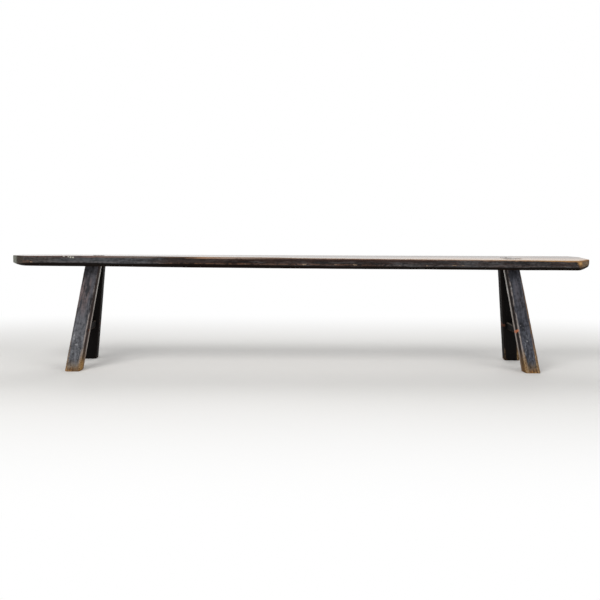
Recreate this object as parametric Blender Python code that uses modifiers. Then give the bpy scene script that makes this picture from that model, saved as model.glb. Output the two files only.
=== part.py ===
"""Long plank bench on four splayed legs.

Metres, +Z up. +X runs along the bench and -Y is its front. The origin is on the
floor under the middle of the seat.
"""

import math

import bmesh
import bpy
from mathutils import Euler, Matrix, Vector

# Seat plank
SEAT_LENGTH = 2.390
SEAT_WIDTH = 0.250
SEAT_THICKNESS = 0.040
SEAT_HEIGHT = 0.460                # floor to the top of the seat, half-way along
SEAT_WIND = math.radians(3.4)      # the old plank's twist from end to end
SEAT_BAYS = 25                     # flats along the twisted faces
SEAT_STRIPS = 5                    # flats across the twisted faces
CORNER_CLIP_ALONG = 0.066
CORNER_CLIP_ACROSS = 0.075
CORNER_ROUND = 0.008
END_BEVEL_ALONG = 0.066            # the underside rises towards each end
END_BEVEL_RISE = 0.013
LOWER_CHAMFER = 0.010
UPPER_EASE = 0.002

# Legs
LEG_WIDTH = 0.056                  # along the bench
LEG_DEPTH = 0.054                  # across the bench
LEG_CHAMFER = 0.0045
END_OVERHANG = 0.325               # end of the seat to the middle of a leg, at the underside
LEG_OFFSET = 0.041                 # middle line of the seat to a leg, at the underside
SPLAY_ALONG = math.radians(8.5)    # lean seen from the front
SPLAY_ACROSS = math.radians(14.8)  # lean seen from the end
TENON_WIDTH = 0.044
TENON_DEPTH = 0.030

# Wedges that spread the leg tenons in the seat
WEDGE_LENGTH = 0.030
WEDGE_HEAD = 0.0055
WEDGE_TIP_SHARE = 0.3              # thickness of the thin end, as a share of the head

# Rails between the front and back legs
RAIL_LEVEL = 0.163                 # floor to the middle of a rail
RAIL_THICKNESS = 0.036             # along the bench
RAIL_HEIGHT = 0.034
RAIL_CHAMFER = 0.003
RAIL_TENON_THICKNESS = 0.014
RAIL_TENON_HEIGHT = 0.024
RAIL_TENON_LENGTH = 0.042          # depth in the leg, from its inner face

# Pegs through the legs and the rail tenons
PEG_DIAMETER = 0.012
PEG_SIDES = 12
PEG_SETBACK = 0.027                # inner face of the leg to the middle of the peg
PEG_PROUD = 0.001                  # each end stands out of the leg's side

# Fits
FIT_GAP = 0.0003                   # between neighbouring pieces
CUT_OVERRUN = 0.060                # cutters run this far past what they cut

# Places worked out from the sizes above
SHOULDER_HEIGHT = SEAT_HEIGHT - SEAT_THICKNESS
LEG_STATION = SEAT_LENGTH / 2 - END_OVERHANG
AXIS_LEAN_ALONG = math.atan(math.tan(SPLAY_ALONG) * math.cos(SPLAY_ACROSS))
AXIS_RISE = math.cos(SPLAY_ACROSS) * math.cos(AXIS_LEAN_ALONG)
RAIL_DROP = SHOULDER_HEIGHT - RAIL_LEVEL
RAIL_STATION = LEG_STATION + RAIL_DROP * math.tan(SPLAY_ALONG)
RAIL_REACH = LEG_OFFSET + RAIL_DROP * math.tan(SPLAY_ACROSS)
LEG_INNER_FACE = RAIL_REACH - LEG_DEPTH / 2 / math.cos(SPLAY_ACROSS)

SIDES = {"left": -1, "right": 1}
FACES = {"front": -1, "back": 1}


def clear_scene():
    """Remove every object that the file opened with."""
    for old in list(bpy.data.objects):
        bpy.data.objects.remove(old, do_unlink=True)


def new_collection(name):
    """Make a collection and link it to the scene."""
    collection = bpy.data.collections.new(name)
    bpy.context.scene.collection.children.link(collection)
    return collection


def wood(name, colour, roughness):
    """Make a plain material for one kind of piece."""
    material = bpy.data.materials.new(name)
    material.use_nodes = True
    shader = material.node_tree.nodes["Principled BSDF"]
    shader.inputs["Base Color"].default_value = (*colour, 1.0)
    shader.inputs["Roughness"].default_value = roughness
    shader.inputs["Metallic"].default_value = 0.0
    material.diffuse_color = (*colour, 1.0)
    return material


def mesh_object(bm, name, collection, material=None, parent=None):
    """Turn a bmesh into an object, carried by a parent where there is one."""
    mesh = bpy.data.meshes.new(name)
    bm.to_mesh(mesh)
    bm.free()
    piece = bpy.data.objects.new(name, mesh)
    collection.objects.link(piece)
    if material:
        mesh.materials.append(material)
    piece.parent = parent
    return piece


def guide(piece):
    """Mark a cutter or a joined shape, which is no piece of the bench."""
    piece.hide_render = True
    piece.display_type = "WIRE"
    return piece


def block(width, depth, low, high):
    """A box centred on its own Z axis, from low to high."""
    bm = bmesh.new()
    bmesh.ops.create_cube(bm, size=1.0)
    bmesh.ops.scale(bm, vec=(width, depth, high - low), verts=bm.verts)
    bmesh.ops.translate(bm, vec=(0, 0, (low + high) / 2), verts=bm.verts)
    return bm


def trim(bm, point, normal):
    """Plane a flat off a convex solid: what lies beyond the plane goes."""
    everything = bm.verts[:] + bm.edges[:] + bm.faces[:]
    cut = bmesh.ops.bisect_plane(
        bm, geom=everything, plane_co=point, plane_no=normal, clear_outer=True
    )
    rim = [item for item in cut["geom_cut"] if isinstance(item, bmesh.types.BMEdge)]
    bmesh.ops.contextual_create(bm, geom=rim)
    bmesh.ops.recalc_face_normals(bm, faces=bm.faces)


def add_loops(bm, length, width):
    """Divide a plank into the bays and strips that let it twist smoothly."""
    stations = [(length * (i / SEAT_BAYS - 0.5), (1, 0, 0)) for i in range(1, SEAT_BAYS)]
    lines = [(width * (i / SEAT_STRIPS - 0.5), (0, 1, 0)) for i in range(1, SEAT_STRIPS)]
    for distance, direction in stations + lines:
        everything = bm.verts[:] + bm.edges[:] + bm.faces[:]
        bmesh.ops.bisect_plane(
            bm, geom=everything, plane_co=Vector(direction) * distance, plane_no=direction
        )


def add_wind(piece):
    """Twist a plank about its own X axis, in flats of three corners each."""
    twist = piece.modifiers.new("wind", "SIMPLE_DEFORM")
    twist.deform_method = "TWIST"
    twist.deform_axis = "X"
    twist.angle = SEAT_WIND
    flats = piece.modifiers.new("flats", "TRIANGULATE")
    flats.quad_method = "FIXED"


def boolean(piece, operation, other):
    """Cut a piece with another shape, or join the two."""
    modifier = piece.modifiers.new(f"{operation.lower()} {other.name}", "BOOLEAN")
    modifier.operation = operation
    modifier.solver = "EXACT"
    modifier.object = other


def bevel(piece, width):
    """Chamfer every arris of a piece."""
    modifier = piece.modifiers.new("chamfer", "BEVEL")
    modifier.width = width
    modifier.segments = 1
    modifier.limit_method = "ANGLE"


def empty(name, collection, location, rotation):
    """An empty that carries the pieces of one frame of the bench."""
    frame = bpy.data.objects.new(name, None)
    collection.objects.link(frame)
    frame.empty_display_size = LEG_DEPTH
    frame.location = location
    frame.rotation_mode = "ZYX"
    frame.rotation_euler = rotation
    return frame


def leg_lean(side, face):
    """Turn of a leg: its front face stays along the bench, and both leans follow."""
    return Euler((face * SPLAY_ACROSS, -side * AXIS_LEAN_ALONG, 0), "ZYX")


def leg_matrix(side, face):
    """Place and turn of a leg in the bench."""
    place = Vector((side * LEG_STATION, face * LEG_OFFSET, SHOULDER_HEIGHT))
    return Matrix.Translation(place) @ leg_lean(side, face).to_matrix().to_4x4()


def seat_plank(collection, material):
    """The seat: clipped corners, thinned ends, chamfered below and twisted."""
    half_length, half_width = SEAT_LENGTH / 2, SEAT_WIDTH / 2
    half_thickness = SEAT_THICKNESS / 2
    bm = block(SEAT_LENGTH, SEAT_WIDTH, -half_thickness, half_thickness)
    for side in SIDES.values():
        for face in FACES.values():
            corner = (side * (half_length - CORNER_CLIP_ALONG), face * half_width, 0)
            trim(bm, corner, (side * CORNER_CLIP_ACROSS, face * CORNER_CLIP_ALONG, 0))
    uprights = [edge for edge in bm.edges if abs(edge.verts[0].co.z - edge.verts[1].co.z) > half_thickness]
    bmesh.ops.bevel(bm, geom=uprights, offset=CORNER_ROUND, segments=2, profile=0.5, affect="EDGES")
    for side in SIDES.values():
        start = (side * (half_length - END_BEVEL_ALONG), 0, -half_thickness)
        trim(bm, start, (side * END_BEVEL_RISE, 0, -END_BEVEL_ALONG))
    for face in FACES.values():
        start = (0, face * half_width, LOWER_CHAMFER - half_thickness)
        trim(bm, start, (0, face, -1))
    top = max(bm.faces, key=lambda item: item.calc_center_median().z)
    bmesh.ops.bevel(bm, geom=top.edges[:], offset=UPPER_EASE, segments=1, affect="EDGES")
    add_loops(bm, SEAT_LENGTH, SEAT_WIDTH)
    seat = mesh_object(bm, "seat_plank", collection, material)
    seat.location.z = SEAT_HEIGHT - half_thickness
    add_wind(seat)
    return seat


def seat_slab(name, low, collection):
    """A slab with the seat's twist, from low upwards, that fits pieces to the seat."""
    high = low + SEAT_THICKNESS + LEG_WIDTH + LEG_DEPTH + CUT_OVERRUN
    bm = block(SEAT_LENGTH, SEAT_WIDTH, low, high)
    add_loops(bm, SEAT_LENGTH, SEAT_WIDTH)
    slab = guide(mesh_object(bm, name, collection))
    slab.location.z = SEAT_HEIGHT - SEAT_THICKNESS / 2
    add_wind(slab)
    return slab


def tapered_block(head, tip, depth, low, high):
    """A box whose thickness along X grows from tip, at the bottom, to head."""
    bm = block(head, depth, low, high)
    bottom = [vert for vert in bm.verts if vert.co.z < (low + high) / 2]
    bmesh.ops.scale(bm, vec=(tip / head, 1, 1), verts=bottom)
    return bm


def peg_shape(radius, length):
    """A faceted peg, centred on its own X axis."""
    bm = bmesh.new()
    bmesh.ops.create_cone(
        bm, cap_ends=True, segments=PEG_SIDES, radius1=radius, radius2=radius, depth=length,
        matrix=Matrix.Rotation(math.pi / 2, 4, "Y"),
    )
    for face in bm.faces:
        face.smooth = len(face.verts) == 4
    return bm


def build_leg(place, side, face, seat, slabs, floor, rail, groups, materials):
    """One leg with its tenon, wedge, rail mortise and peg."""
    bench, guides = groups
    frame = empty(f"frame_{place}", bench, leg_matrix(side, face).translation, leg_lean(side, face))

    # The leg is a squared post, cut to the floor and to the twisted seat
    foot = SHOULDER_HEIGHT / AXIS_RISE + LEG_WIDTH + LEG_DEPTH
    shaft = block(LEG_WIDTH, LEG_DEPTH, -foot, LEG_WIDTH + LEG_DEPTH)
    leg = mesh_object(shaft, f"leg_{place}", bench, materials["leg"], frame)
    bevel(leg, LEG_CHAMFER)
    boolean(leg, "DIFFERENCE", floor)
    boolean(leg, "DIFFERENCE", slabs["below"])

    # Through tenon, flush with the top of the seat
    tenon_top = SEAT_THICKNESS / AXIS_RISE + LEG_WIDTH
    tenon = block(TENON_WIDTH, TENON_DEPTH, -LEG_DEPTH, tenon_top)
    boolean(leg, "UNION", guide(mesh_object(tenon, f"tenon_{place}", guides, parent=frame)))
    boolean(leg, "DIFFERENCE", slabs["above"])
    hole = block(TENON_WIDTH + 2 * FIT_GAP, TENON_DEPTH + 2 * FIT_GAP, -LEG_DEPTH, tenon_top)
    boolean(seat, "DIFFERENCE", guide(mesh_object(hole, f"mortise_{place}", guides, parent=frame)))

    # The wedge is driven across the plank's grain. Head and slot widen alike above the seat
    seat_top = SEAT_THICKNESS / AXIS_RISE
    tip = WEDGE_HEAD * WEDGE_TIP_SHARE
    growth = (WEDGE_HEAD - tip) / WEDGE_LENGTH
    crown = seat_top + LEG_DEPTH / 2
    crown_head = WEDGE_HEAD + growth * LEG_DEPTH / 2
    low = seat_top - WEDGE_LENGTH
    body = tapered_block(crown_head, tip, TENON_DEPTH, low, crown)
    wedge = mesh_object(body, f"wedge_{place}", bench, materials["wedge"], frame)
    boolean(wedge, "DIFFERENCE", slabs["above"])
    slot = tapered_block(
        crown_head + 2 * FIT_GAP, tip + 2 * FIT_GAP, TENON_DEPTH + CUT_OVERRUN, low - FIT_GAP, crown
    )
    boolean(leg, "DIFFERENCE", guide(mesh_object(slot, f"kerf_{place}", guides, parent=frame)))

    # The rail is cut to the leg's inner face, and its tenon enters the leg
    envelope = block(LEG_WIDTH + CUT_OVERRUN, LEG_DEPTH + 2 * FIT_GAP, -foot, 0)
    boolean(rail["body"], "DIFFERENCE", guide(mesh_object(envelope, f"seat_of_{place}", guides, parent=frame)))
    boolean(leg, "DIFFERENCE", rail["mortise"])

    # The peg runs through the leg's sides and pins the tenon
    centre = Vector((side * RAIL_STATION, face * (LEG_INNER_FACE + PEG_SETBACK), RAIL_LEVEL))
    centre = leg_matrix(side, face).inverted() @ centre
    length = LEG_WIDTH + 2 * PEG_PROUD
    peg = mesh_object(peg_shape(PEG_DIAMETER / 2, length), f"peg_{place}", bench, materials["peg"], frame)
    peg.location = (0, centre.y, centre.z)
    drill = peg_shape(PEG_DIAMETER / 2 + FIT_GAP, length + CUT_OVERRUN)
    drill = guide(mesh_object(drill, f"peg_hole_{place}", guides, parent=frame))
    drill.location = peg.location
    boolean(leg, "DIFFERENCE", drill)
    rail["holes"].append(drill)


def build_rail(name, side, groups, material):
    """One rail, its tenons as a joined shape, and the cutter of its mortises."""
    bench, guides = groups
    frame = empty(f"frame_{name}", bench, (side * RAIL_STATION, 0, RAIL_LEVEL), (0, -side * SPLAY_ALONG, 0))
    half_height = RAIL_HEIGHT / 2
    bar = block(RAIL_THICKNESS, 2 * RAIL_REACH, -half_height, half_height)
    body = mesh_object(bar, name, bench, material, frame)
    bevel(body, RAIL_CHAMFER)
    reach = 2 * (LEG_INNER_FACE + RAIL_TENON_LENGTH)
    half_tenon = RAIL_TENON_HEIGHT / 2
    tenon = block(RAIL_TENON_THICKNESS, reach, -half_tenon, half_tenon)
    hole = block(
        RAIL_TENON_THICKNESS + 2 * FIT_GAP, reach + 2 * FIT_GAP, -half_tenon - FIT_GAP, half_tenon + FIT_GAP
    )
    return {
        "body": body,
        "tenon": guide(mesh_object(tenon, f"tenon_{name}", guides, parent=frame)),
        "mortise": guide(mesh_object(hole, f"mortise_{name}", guides, parent=frame)),
        "holes": [],
    }


def build_bench():
    """The whole bench."""
    clear_scene()
    groups = new_collection("plank_bench"), new_collection("cutters")
    bench, guides = groups
    materials = {
        "seat": wood("worn_seat_finish", (0.060, 0.042, 0.034), 0.40),
        "leg": wood("black_leg_finish", (0.028, 0.026, 0.027), 0.45),
        "wedge": wood("wedge_end_grain", (0.030, 0.022, 0.018), 0.55),
        "rail": wood("black_rail_finish", (0.024, 0.022, 0.021), 0.50),
        "peg": wood("peg_bare_wood", (0.250, 0.120, 0.060), 0.60),
    }
    seat = seat_plank(bench, materials["seat"])
    half_thickness = SEAT_THICKNESS / 2
    slabs = {
        "below": seat_slab("seat_room", -half_thickness - FIT_GAP, guides),
        "above": seat_slab("room_above_seat", half_thickness, guides),
    }
    floor = block(SEAT_LENGTH + CUT_OVERRUN, SEAT_WIDTH + 2 * SEAT_HEIGHT, -SEAT_HEIGHT, 0)
    floor = guide(mesh_object(floor, "room_below_floor", guides))
    for side_name, side in SIDES.items():
        rail = build_rail(f"rail_{side_name}", side, groups, materials["rail"])
        for face_name, face in FACES.items():
            place = f"{face_name}_{side_name}"
            build_leg(place, side, face, seat, slabs, floor, rail, groups, materials)
        boolean(rail["body"], "UNION", rail["tenon"])
        for hole in rail["holes"]:
            boolean(rail["body"], "DIFFERENCE", hole)


build_bench()
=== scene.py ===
"""Looks of the long plank bench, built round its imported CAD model."""

import math
from types import SimpleNamespace

import bmesh
import bpy
from mathutils import Euler, Matrix, Vector, noise


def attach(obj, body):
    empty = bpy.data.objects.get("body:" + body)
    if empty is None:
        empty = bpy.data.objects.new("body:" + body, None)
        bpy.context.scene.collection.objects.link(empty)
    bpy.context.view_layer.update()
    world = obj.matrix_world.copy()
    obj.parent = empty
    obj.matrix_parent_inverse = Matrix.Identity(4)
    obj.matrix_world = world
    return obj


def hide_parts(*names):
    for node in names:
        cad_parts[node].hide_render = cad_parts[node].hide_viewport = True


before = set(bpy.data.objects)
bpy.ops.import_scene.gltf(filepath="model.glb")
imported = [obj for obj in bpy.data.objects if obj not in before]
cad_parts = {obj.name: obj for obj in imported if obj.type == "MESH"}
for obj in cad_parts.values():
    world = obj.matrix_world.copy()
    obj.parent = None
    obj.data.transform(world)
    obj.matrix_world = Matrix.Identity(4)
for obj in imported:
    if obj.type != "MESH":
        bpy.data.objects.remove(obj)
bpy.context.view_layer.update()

# Sizes of the bench, as the CAD model has them
SEAT_LENGTH = 2.390
SEAT_WIDTH = 0.250
SEAT_THICKNESS = 0.040
SEAT_HEIGHT = 0.460
SEAT_WIND = math.radians(3.4)
CORNER_CLIP_ALONG = 0.066
CORNER_CLIP_ACROSS = 0.075
END_BEVEL_ALONG = 0.066
END_BEVEL_RISE = 0.013
LOWER_CHAMFER = 0.010
UNDER_CHAMFER_RISE = 0.0140
LEG_WIDTH = 0.056
LEG_DEPTH = 0.054
LEG_CHAMFER = 0.0045
END_OVERHANG = 0.325
LEG_OFFSET = 0.041
SPLAY_ALONG = math.radians(8.5)
SPLAY_ACROSS = math.radians(14.8)
TENON_WIDTH = 0.044
TENON_DEPTH = 0.030
WEDGE_LENGTH = 0.030
WEDGE_HEAD = 0.0055
WEDGE_TIP = 0.00165
RAIL_LEVEL = 0.163
RAIL_THICKNESS = 0.036
RAIL_HEIGHT = 0.034
RAIL_TENON_THICKNESS = 0.014
RAIL_TENON_HEIGHT = 0.024
RAIL_TENON_LENGTH = 0.042
PEG_DIAMETER = 0.012
PEG_SETBACK = 0.027
FIT_GAP = 0.0003

SHOULDER_HEIGHT = SEAT_HEIGHT - SEAT_THICKNESS
SEAT_MIDDLE = SEAT_HEIGHT - SEAT_THICKNESS / 2
WIND_RATE = SEAT_WIND / SEAT_LENGTH
LEG_STATION = SEAT_LENGTH / 2 - END_OVERHANG
AXIS_LEAN_ALONG = math.atan(math.tan(SPLAY_ALONG) * math.cos(SPLAY_ACROSS))
AXIS_RISE = math.cos(SPLAY_ACROSS) * math.cos(AXIS_LEAN_ALONG)
LEG_TOP = SEAT_THICKNESS / AXIS_RISE
WEDGE_GROWTH = (WEDGE_HEAD - WEDGE_TIP) / WEDGE_LENGTH
RAIL_DROP = SHOULDER_HEIGHT - RAIL_LEVEL
RAIL_STATION = LEG_STATION + RAIL_DROP * math.tan(SPLAY_ALONG)
RAIL_REACH = LEG_OFFSET + RAIL_DROP * math.tan(SPLAY_ACROSS)
LEG_INNER_FACE = RAIL_REACH - LEG_DEPTH / 2 / math.cos(SPLAY_ACROSS)

# Camera of the photograph: fitted to the bench's outline
CAMERA_DISTANCE = 3.600
CAMERA_HEIGHT = 0.649
CAMERA_SIDE = 0.0125
CAMERA_PITCH = math.radians(5.90)
CAMERA_ROLL = 0.0076
BENCH_YAW = math.radians(1.084)
FOCAL_PIXELS = 855.8
FRAME_PIXELS = 600
SENSOR_WIDTH = 36.0

# Studio: a floor that turns white away from the bench, and lamps with a place and a power
FLOOR_REACH = 40.0
FLOOR_NEAR = 0.25
FLOOR_FAR = 1.70
FLOOR_COLOUR = (236, 234, 230)
FLOOR_CLOUD = (242, 240, 237)
SKY_STRENGTH = 0.45
SKY_COLOUR = (0.97, 0.985, 1.0, 1.0)
WHITE = (1.0, 1.0, 1.0, 1.0)
LAMP_AIM = (0.0, 0.0, 0.3)
LAMP_SIZE = 2.6
LAMPS = (("key", (-2.2, -3.2, 4.0), 115), ("fill", (2.8, -2.6, 3.2), 30), ("rear", (0.6, 3.2, 3.8), 45))

# Small forms of the worn seat. A row of ripples is a height, features a metre along each axis, and a seed.
SHARP_ANGLE = math.radians(50)
SEAT_STEP = 0.005
END_STEPS = 22
ROUND_STEPS = 8
CAP_SHARES = (0.25, 0.5, 0.75, 0.9)
TOP_LANES = 36
SIDE_LANES = 8
CHAMFER_LANES = 4
ARRIS_STEPS = 6
LEFT_CLIP_ACROSS = 0.061
BACK_RIGHT_CLIP = (0.038, 0.044)
CLIP_ROUND = 0.012
LEFT_CORNER_SLACK = 0.024
RIGHT_CORNER_SLACK = 0.010
END_ARRIS = 0.003
BEVEL_POWER = 2.0
RIGHT_BEVEL_RISE = 0.0110
BELLY = 0.0013
BELLY_MIDDLE = -0.12
BELLY_REACH = (0.70, 0.30)
SAG = 0.0011
SAG_SPAN = (1.05, 0.90)
CREST_LEFT = 0.0017
CREST_ALL = 0.0005
CREST_REACH = 0.06
CREST_RIGHT_SPAN = (1.10, 0.90)
CREST_LEFT_SPAN = (0.0, -0.15)
CREST_END_SPAN = (-1.12, -0.90)
RIM_REACH = (0, 0.02)
END_REACH = (0, 0.05)
HOLLOW_REACH = (0.02, 0.10)
HOLLOW_END_REACH = (0.1, 0.5)
TOP_HOLLOW = 0.0009
EDGE_WEAR = 0.0006
ARRIS_RADIUS = 0.0028
LEAST_RADIUS = 0.001
RIGHT_END_WEAR = 0.0020
RIGHT_END_SPAN = (0.95, 1.15)
FRONT_WEAR = 0.0016
FRONT_SPAN = (-0.93, -0.84)
LEFT_FRONT_WEAR = 0.0006
LEFT_FRONT_SPAN = (0.0, -0.2)
CHAMFER_LOSS = 0.0020
CHAMFER_LOSS_SPAN = (-0.6, 0.3)
LEFT_CHAMFER_TAPER = 0.070
LEAST_CHAMFER = 0.0008
SOFT_EDGE = 0.0012
SOFT_SHARE = 0.2
SURFACE_MARGIN = 0.0001
EDGE_RIPPLES = ((0.0006, (9, 1), 1), (0.0003, (60, 1), 2))
ARRIS_RIPPLES = ((0.0012, (23, 1), 3), (0.0010, (90, 1), 4))
CHAMFER_RIPPLES = ((0.0012, (7, 1), 5),)
SOFT_RIPPLES = ((0.0008, (40, 1), 6),)
TOP_RIPPLES = ((0.0004, (5, 16), 7), (0.00015, (22, 90), 8))
SIDE_RIPPLES = ((0.00025, (30, 5, 160), 9),)
UNDER_RIPPLES = ((0.0003, (12, 30), 10),)

# Dents of the front's top arris: station, reach and depth
ARRIS_DENTS = (
    (-0.950, 0.022, 0.0026), (-0.470, 0.020, 0.0036), (-0.390, 0.032, 0.0016), (0.545, 0.014, 0.0014),
    (0.655, 0.030, 0.0012), (0.742, 0.018, 0.0024), (0.778, 0.030, 0.0010), (0.868, 0.012, 0.0014),
    (0.915, 0.034, 0.0010),
)

# Chips of the front: station, level in the plank, reach along and up, and strength
CHIP_REACH = 0.007
FRONT_CHIPS = (
    (-1.103, -0.0050, 0.004, 0.0026, 1.0), (-0.971, 0.0185, 0.004, 0.0024, 1.1),
    (-0.954, 0.0175, 0.004, 0.0028, 0.9), (-0.944, 0.0160, 0.004, 0.0036, 0.9),
    (-0.934, 0.0160, 0.004, 0.0044, 0.9), (-0.780, 0.0150, 0.010, 0.0014, 0.7),
    (-0.700, 0.0150, 0.012, 0.0014, 0.6), (-0.239, -0.0050, 0.006, 0.0018, 0.8),
    (0.002, -0.0050, 0.011, 0.0020, 1.1), (0.104, -0.0052, 0.006, 0.0016, 0.8),
    (0.128, -0.0050, 0.008, 0.0018, 0.9), (0.208, -0.0050, 0.012, 0.0018, 0.9),
    (0.326, -0.0052, 0.016, 0.0018, 0.8), (0.392, -0.0052, 0.006, 0.0018, 0.9),
    (0.504, -0.0054, 0.011, 0.0018, 0.9), (0.616, -0.0040, 0.009, 0.0018, 0.9),
    (0.648, -0.0040, 0.008, 0.0016, 0.8), (1.068, -0.0030, 0.010, 0.0010, 0.7),
)

# Marks on the seat. A pair is where a mark fades in: along the bench for a SPAN, across it for a LANE,
# and up the plank for a LEVEL. A SPOT is the middle of a mark, its reach, and the reach of its core.
WORN_EDGE_SPAN = (-0.62, -0.15)
WORN_EDGE_LANE = (-0.015, -0.090)
SAT_SPAN = (0.20, 0.75)
SAT_LANE = (0.075, -0.045)
BACK_RIM_SPAN = (0.80, 1.0)
BACK_RIM_LANE = (0.0, 0.05)
GRIME_SPOT = (0.899, 0.022, 0.008)
GRIME_LANE_SPOT = (-0.031, 0.021, 0.010)
SLATE_SPAN = (-0.46, -0.70)
GREYER_SPAN = (-0.28, -0.05)
GREYEST_SPAN = (0.30, 0.45)
BROWNER_SPOT = (0.21, 0.14, 0.06)
PLAIN_SPOT = (-0.44, 0.18, 0.06)
SOOT_SPOT = (-0.44, 0.14, 0.05)
UNDER_LINE_SPANS = ((-0.42, -0.30), (0.62, 0.50))
UNDER_LINE_LEVEL = (0.0060, 0.0105)
BROWN_SPAN = (-0.92, -1.06)
RUBBED_SPOT = (-1.124, 0.032, 0.014)
RUBBED_LEVEL_SPOT = (-0.004, 0.0072, 0.0030)
UPPER_LINE_SPAN = (-0.82, -0.98)
UPPER_LINE_LEVEL = (0.0115, 0.0170)
LEDGE_SPOT = (-0.0034, 0.0030, 0.0010)
LEDGE_DROP = 0.0014
LEDGE_DROP_SPANS = ((-0.80, -0.65), (0.64, 0.50))
COOL_LEDGE_SPAN = (0.2, 0.4)
RIGHT_HALF_SPAN = (-0.1, 0.1)
END_SHADE_LEVEL = (0.004, -0.012)
LEFT_TIP_SPAN = (-1.168, -1.180)
LEFT_TIP_LANE = (-0.03, 0.04)
WORN_ARRIS_SPAN = (-0.93, -0.86)
LEFT_ARRIS_SPAN = (-0.98, -1.08)
RIGHT_ARRIS_SPAN = (0.95, 1.05)
BARED_SPAN = (0.0, -0.30)
BARED_LEVEL = (0.0138, 0.0158)
BARED_BREAK = (-0.53, 0.05, 0.10)
STEEP_ARRIS_SPAN = (-0.02, -0.20)
CORNER_SPOT = (1.137, 0.015, 0.006)
CORNER_LANE = (0.0, -0.05)
CORNER_LEVEL = (-0.014, -0.002)
# The right front corner: painted shade low on its golden part, and a painted highlight
GOLD_SHADE_LEVEL = (-0.006, 0.010)
GLINT_SPOT = (1.131, 0.0060, 0.0020)
GLINT_LEVEL_SPOT = (0.0085, 0.0056, 0.0020)
CHIP_LEVEL = (-0.002, 0.006)
MATT_SPAN = (-1.0, -0.80)
MATT_LEFT_SPAN = (0.2, -0.1)
MATT_LANE = (0.0, -0.06)
WAXED_SPAN = (0.1, -0.5)
DRY_END_SPAN = (0.88, 1.02)
DRY_BACK_SPAN = (-0.62, -0.45)
DRY_BACK_LANE = (0.0, 0.08)

# Worn arris above and below its turn: share of RAMP_LENGTH from the left end, and colour
RAMP_LENGTH = 2.4
PALE_ARRIS = (
    (0.00, (150, 126, 98)), (0.05, (200, 184, 152)), (0.14, (150, 130, 122)), (0.24, (206, 184, 160)),
    (0.40, (232, 224, 210)), (0.68, (230, 218, 202)), (0.86, (226, 202, 178)), (0.92, (224, 184, 124)),
    (1.00, (206, 160, 100)),
)
BROWN_ARRIS = (
    (0.00, (84, 66, 50)), (0.08, (66, 48, 44)), (0.14, (118, 92, 84)), (0.22, (112, 98, 90)),
    (0.30, (92, 72, 58)), (0.325, (164, 128, 102)), (0.38, (160, 140, 126)), (0.46, (122, 100, 86)),
    (0.62, (116, 84, 68)), (0.80, (128, 104, 90)), (0.93, (164, 122, 78)), (1.00, (150, 108, 68)),
)

# Small forms of the worn legs, wedges, pegs and rails
LEG_STEPS = 150
FOOT_SHARES = (0.994, 0.9965, 0.9985, 1.0)
LEG_FOOT_ROUND = 0.004
LEG_SHARE = 0.988
LEAST_CUT = 0.0018
FOOT_CUT = 0.0016
FOOT_CUT_SHARES = (0.80, 1.0)
FOOT_ROUND_SHARE = 0.45
FOOT_CAP_SHARES = (0.8, 0.4)
CUT_BULGE = 0.42
CUT_EASE = 0.6
GROOVE_STEP = 0.0016
GROOVE_REACH = 0.0012
LEG_CUT_RIPPLES = ((0.0012, (26, 3), 0), (0.0010, (110, 3), 1))
LEG_RIPPLES = ((0.008, (8, 20, 20), 2), (0.004, (45, 60, 60), 3))
FOOT_RIPPLES = ((0.55, (90, 90), 4),)
WEDGE_STEPS = 24
WEDGE_CUT = 0.0005
WEDGE_SHARE = 0.995
WEDGE_INSETS = 3
WEDGE_INSET = 0.0003
WEDGE_DRAW = 0.004
WEDGE_CUT_RIPPLES = ((0.0002, (0.4, 3), 0),)
WEDGE_TOP_RIPPLES = ((0.0001, (300,), 0),)
PEG_SIDES = 12
PEG_SHARE = 0.985
PEG_LANES = (-0.02, -0.01, 0.0, 0.01, 0.02)
PEG_ENDS = ((0.0012, 1.0), (0.0002, 0.97), (-0.0006, 0.86), (-0.001, 0.66))
PEG_RIPPLES = ((0.012, (2, 2, 8), 0),)
RAIL_STEPS = 48
RAIL_CUT = 0.0032
RAIL_SHARE = 0.985
RAIL_TREAD = 0.0012
TREAD_LEVEL = (0.010, 0.016)
TREAD_SHARES = (0.9, 0.2)
RAIL_CUT_RIPPLES = ((0.0010, (8, 3), 0),)
RAIL_RIPPLES = ((0.012, (3, 30, 30), 1),)

# Marks on a leg. A SPAN fades in down the leg's own axis, and a FACE towards one of its sides.
OUTER_FACE = (0.0215, 0.0262)
SIDE_FACE = (0.0215, 0.0272)
INNER_FACE = (0.0225, 0.0262)
LOW_FILM_SPAN = (-0.08, -0.36)
PINK_SPANS = ((-0.22, -0.14), (-0.04, -0.09))
SCUFF_SPAN = (-0.25, -0.32)
DUST_SPAN = (-0.392, -0.432)
FOOT_SPAN = (-0.395, -0.450)
INNER_FOOT_SPAN = (-0.350, -0.43)
BORDER_SPAN = (-0.330, -0.380)
GILT_SPAN = (-0.378, -0.408)
HEM_SPAN = (-0.4405, -0.4450)
LOW_ARRIS_SPAN = (-0.330, -0.400)
RUBBED_ARRIS_SPAN = (-0.17, -0.25)
# Painted reflection on the front legs' inner rear edges: white above this span, greyer below
BACK_REFLECTION_SPAN = (-0.02, -0.24)
CROWN_SPAN = (0.030, 0.034)
# Greys of the legs' outer film, faded paint and painted sheen; the cool one, for the front right leg, is
# bluish as a painted reflection
HIGH_GREY_AND_SHEEN = ((48, 48, 51), (92, 91, 97))
COOL_GREY_AND_SHEEN = ((44, 46, 52), (86, 87, 96))
WAX_ROUGHNESS = 0.10
RING_WIDTH = 0.0056

# Each leg's name and signs along and across the bench. The values after it keep this order.
LEG_PLACES = (("front_left", -1, -1), ("front_right", 1, -1), ("back_left", -1, 1), ("back_right", 1, 1))
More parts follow.
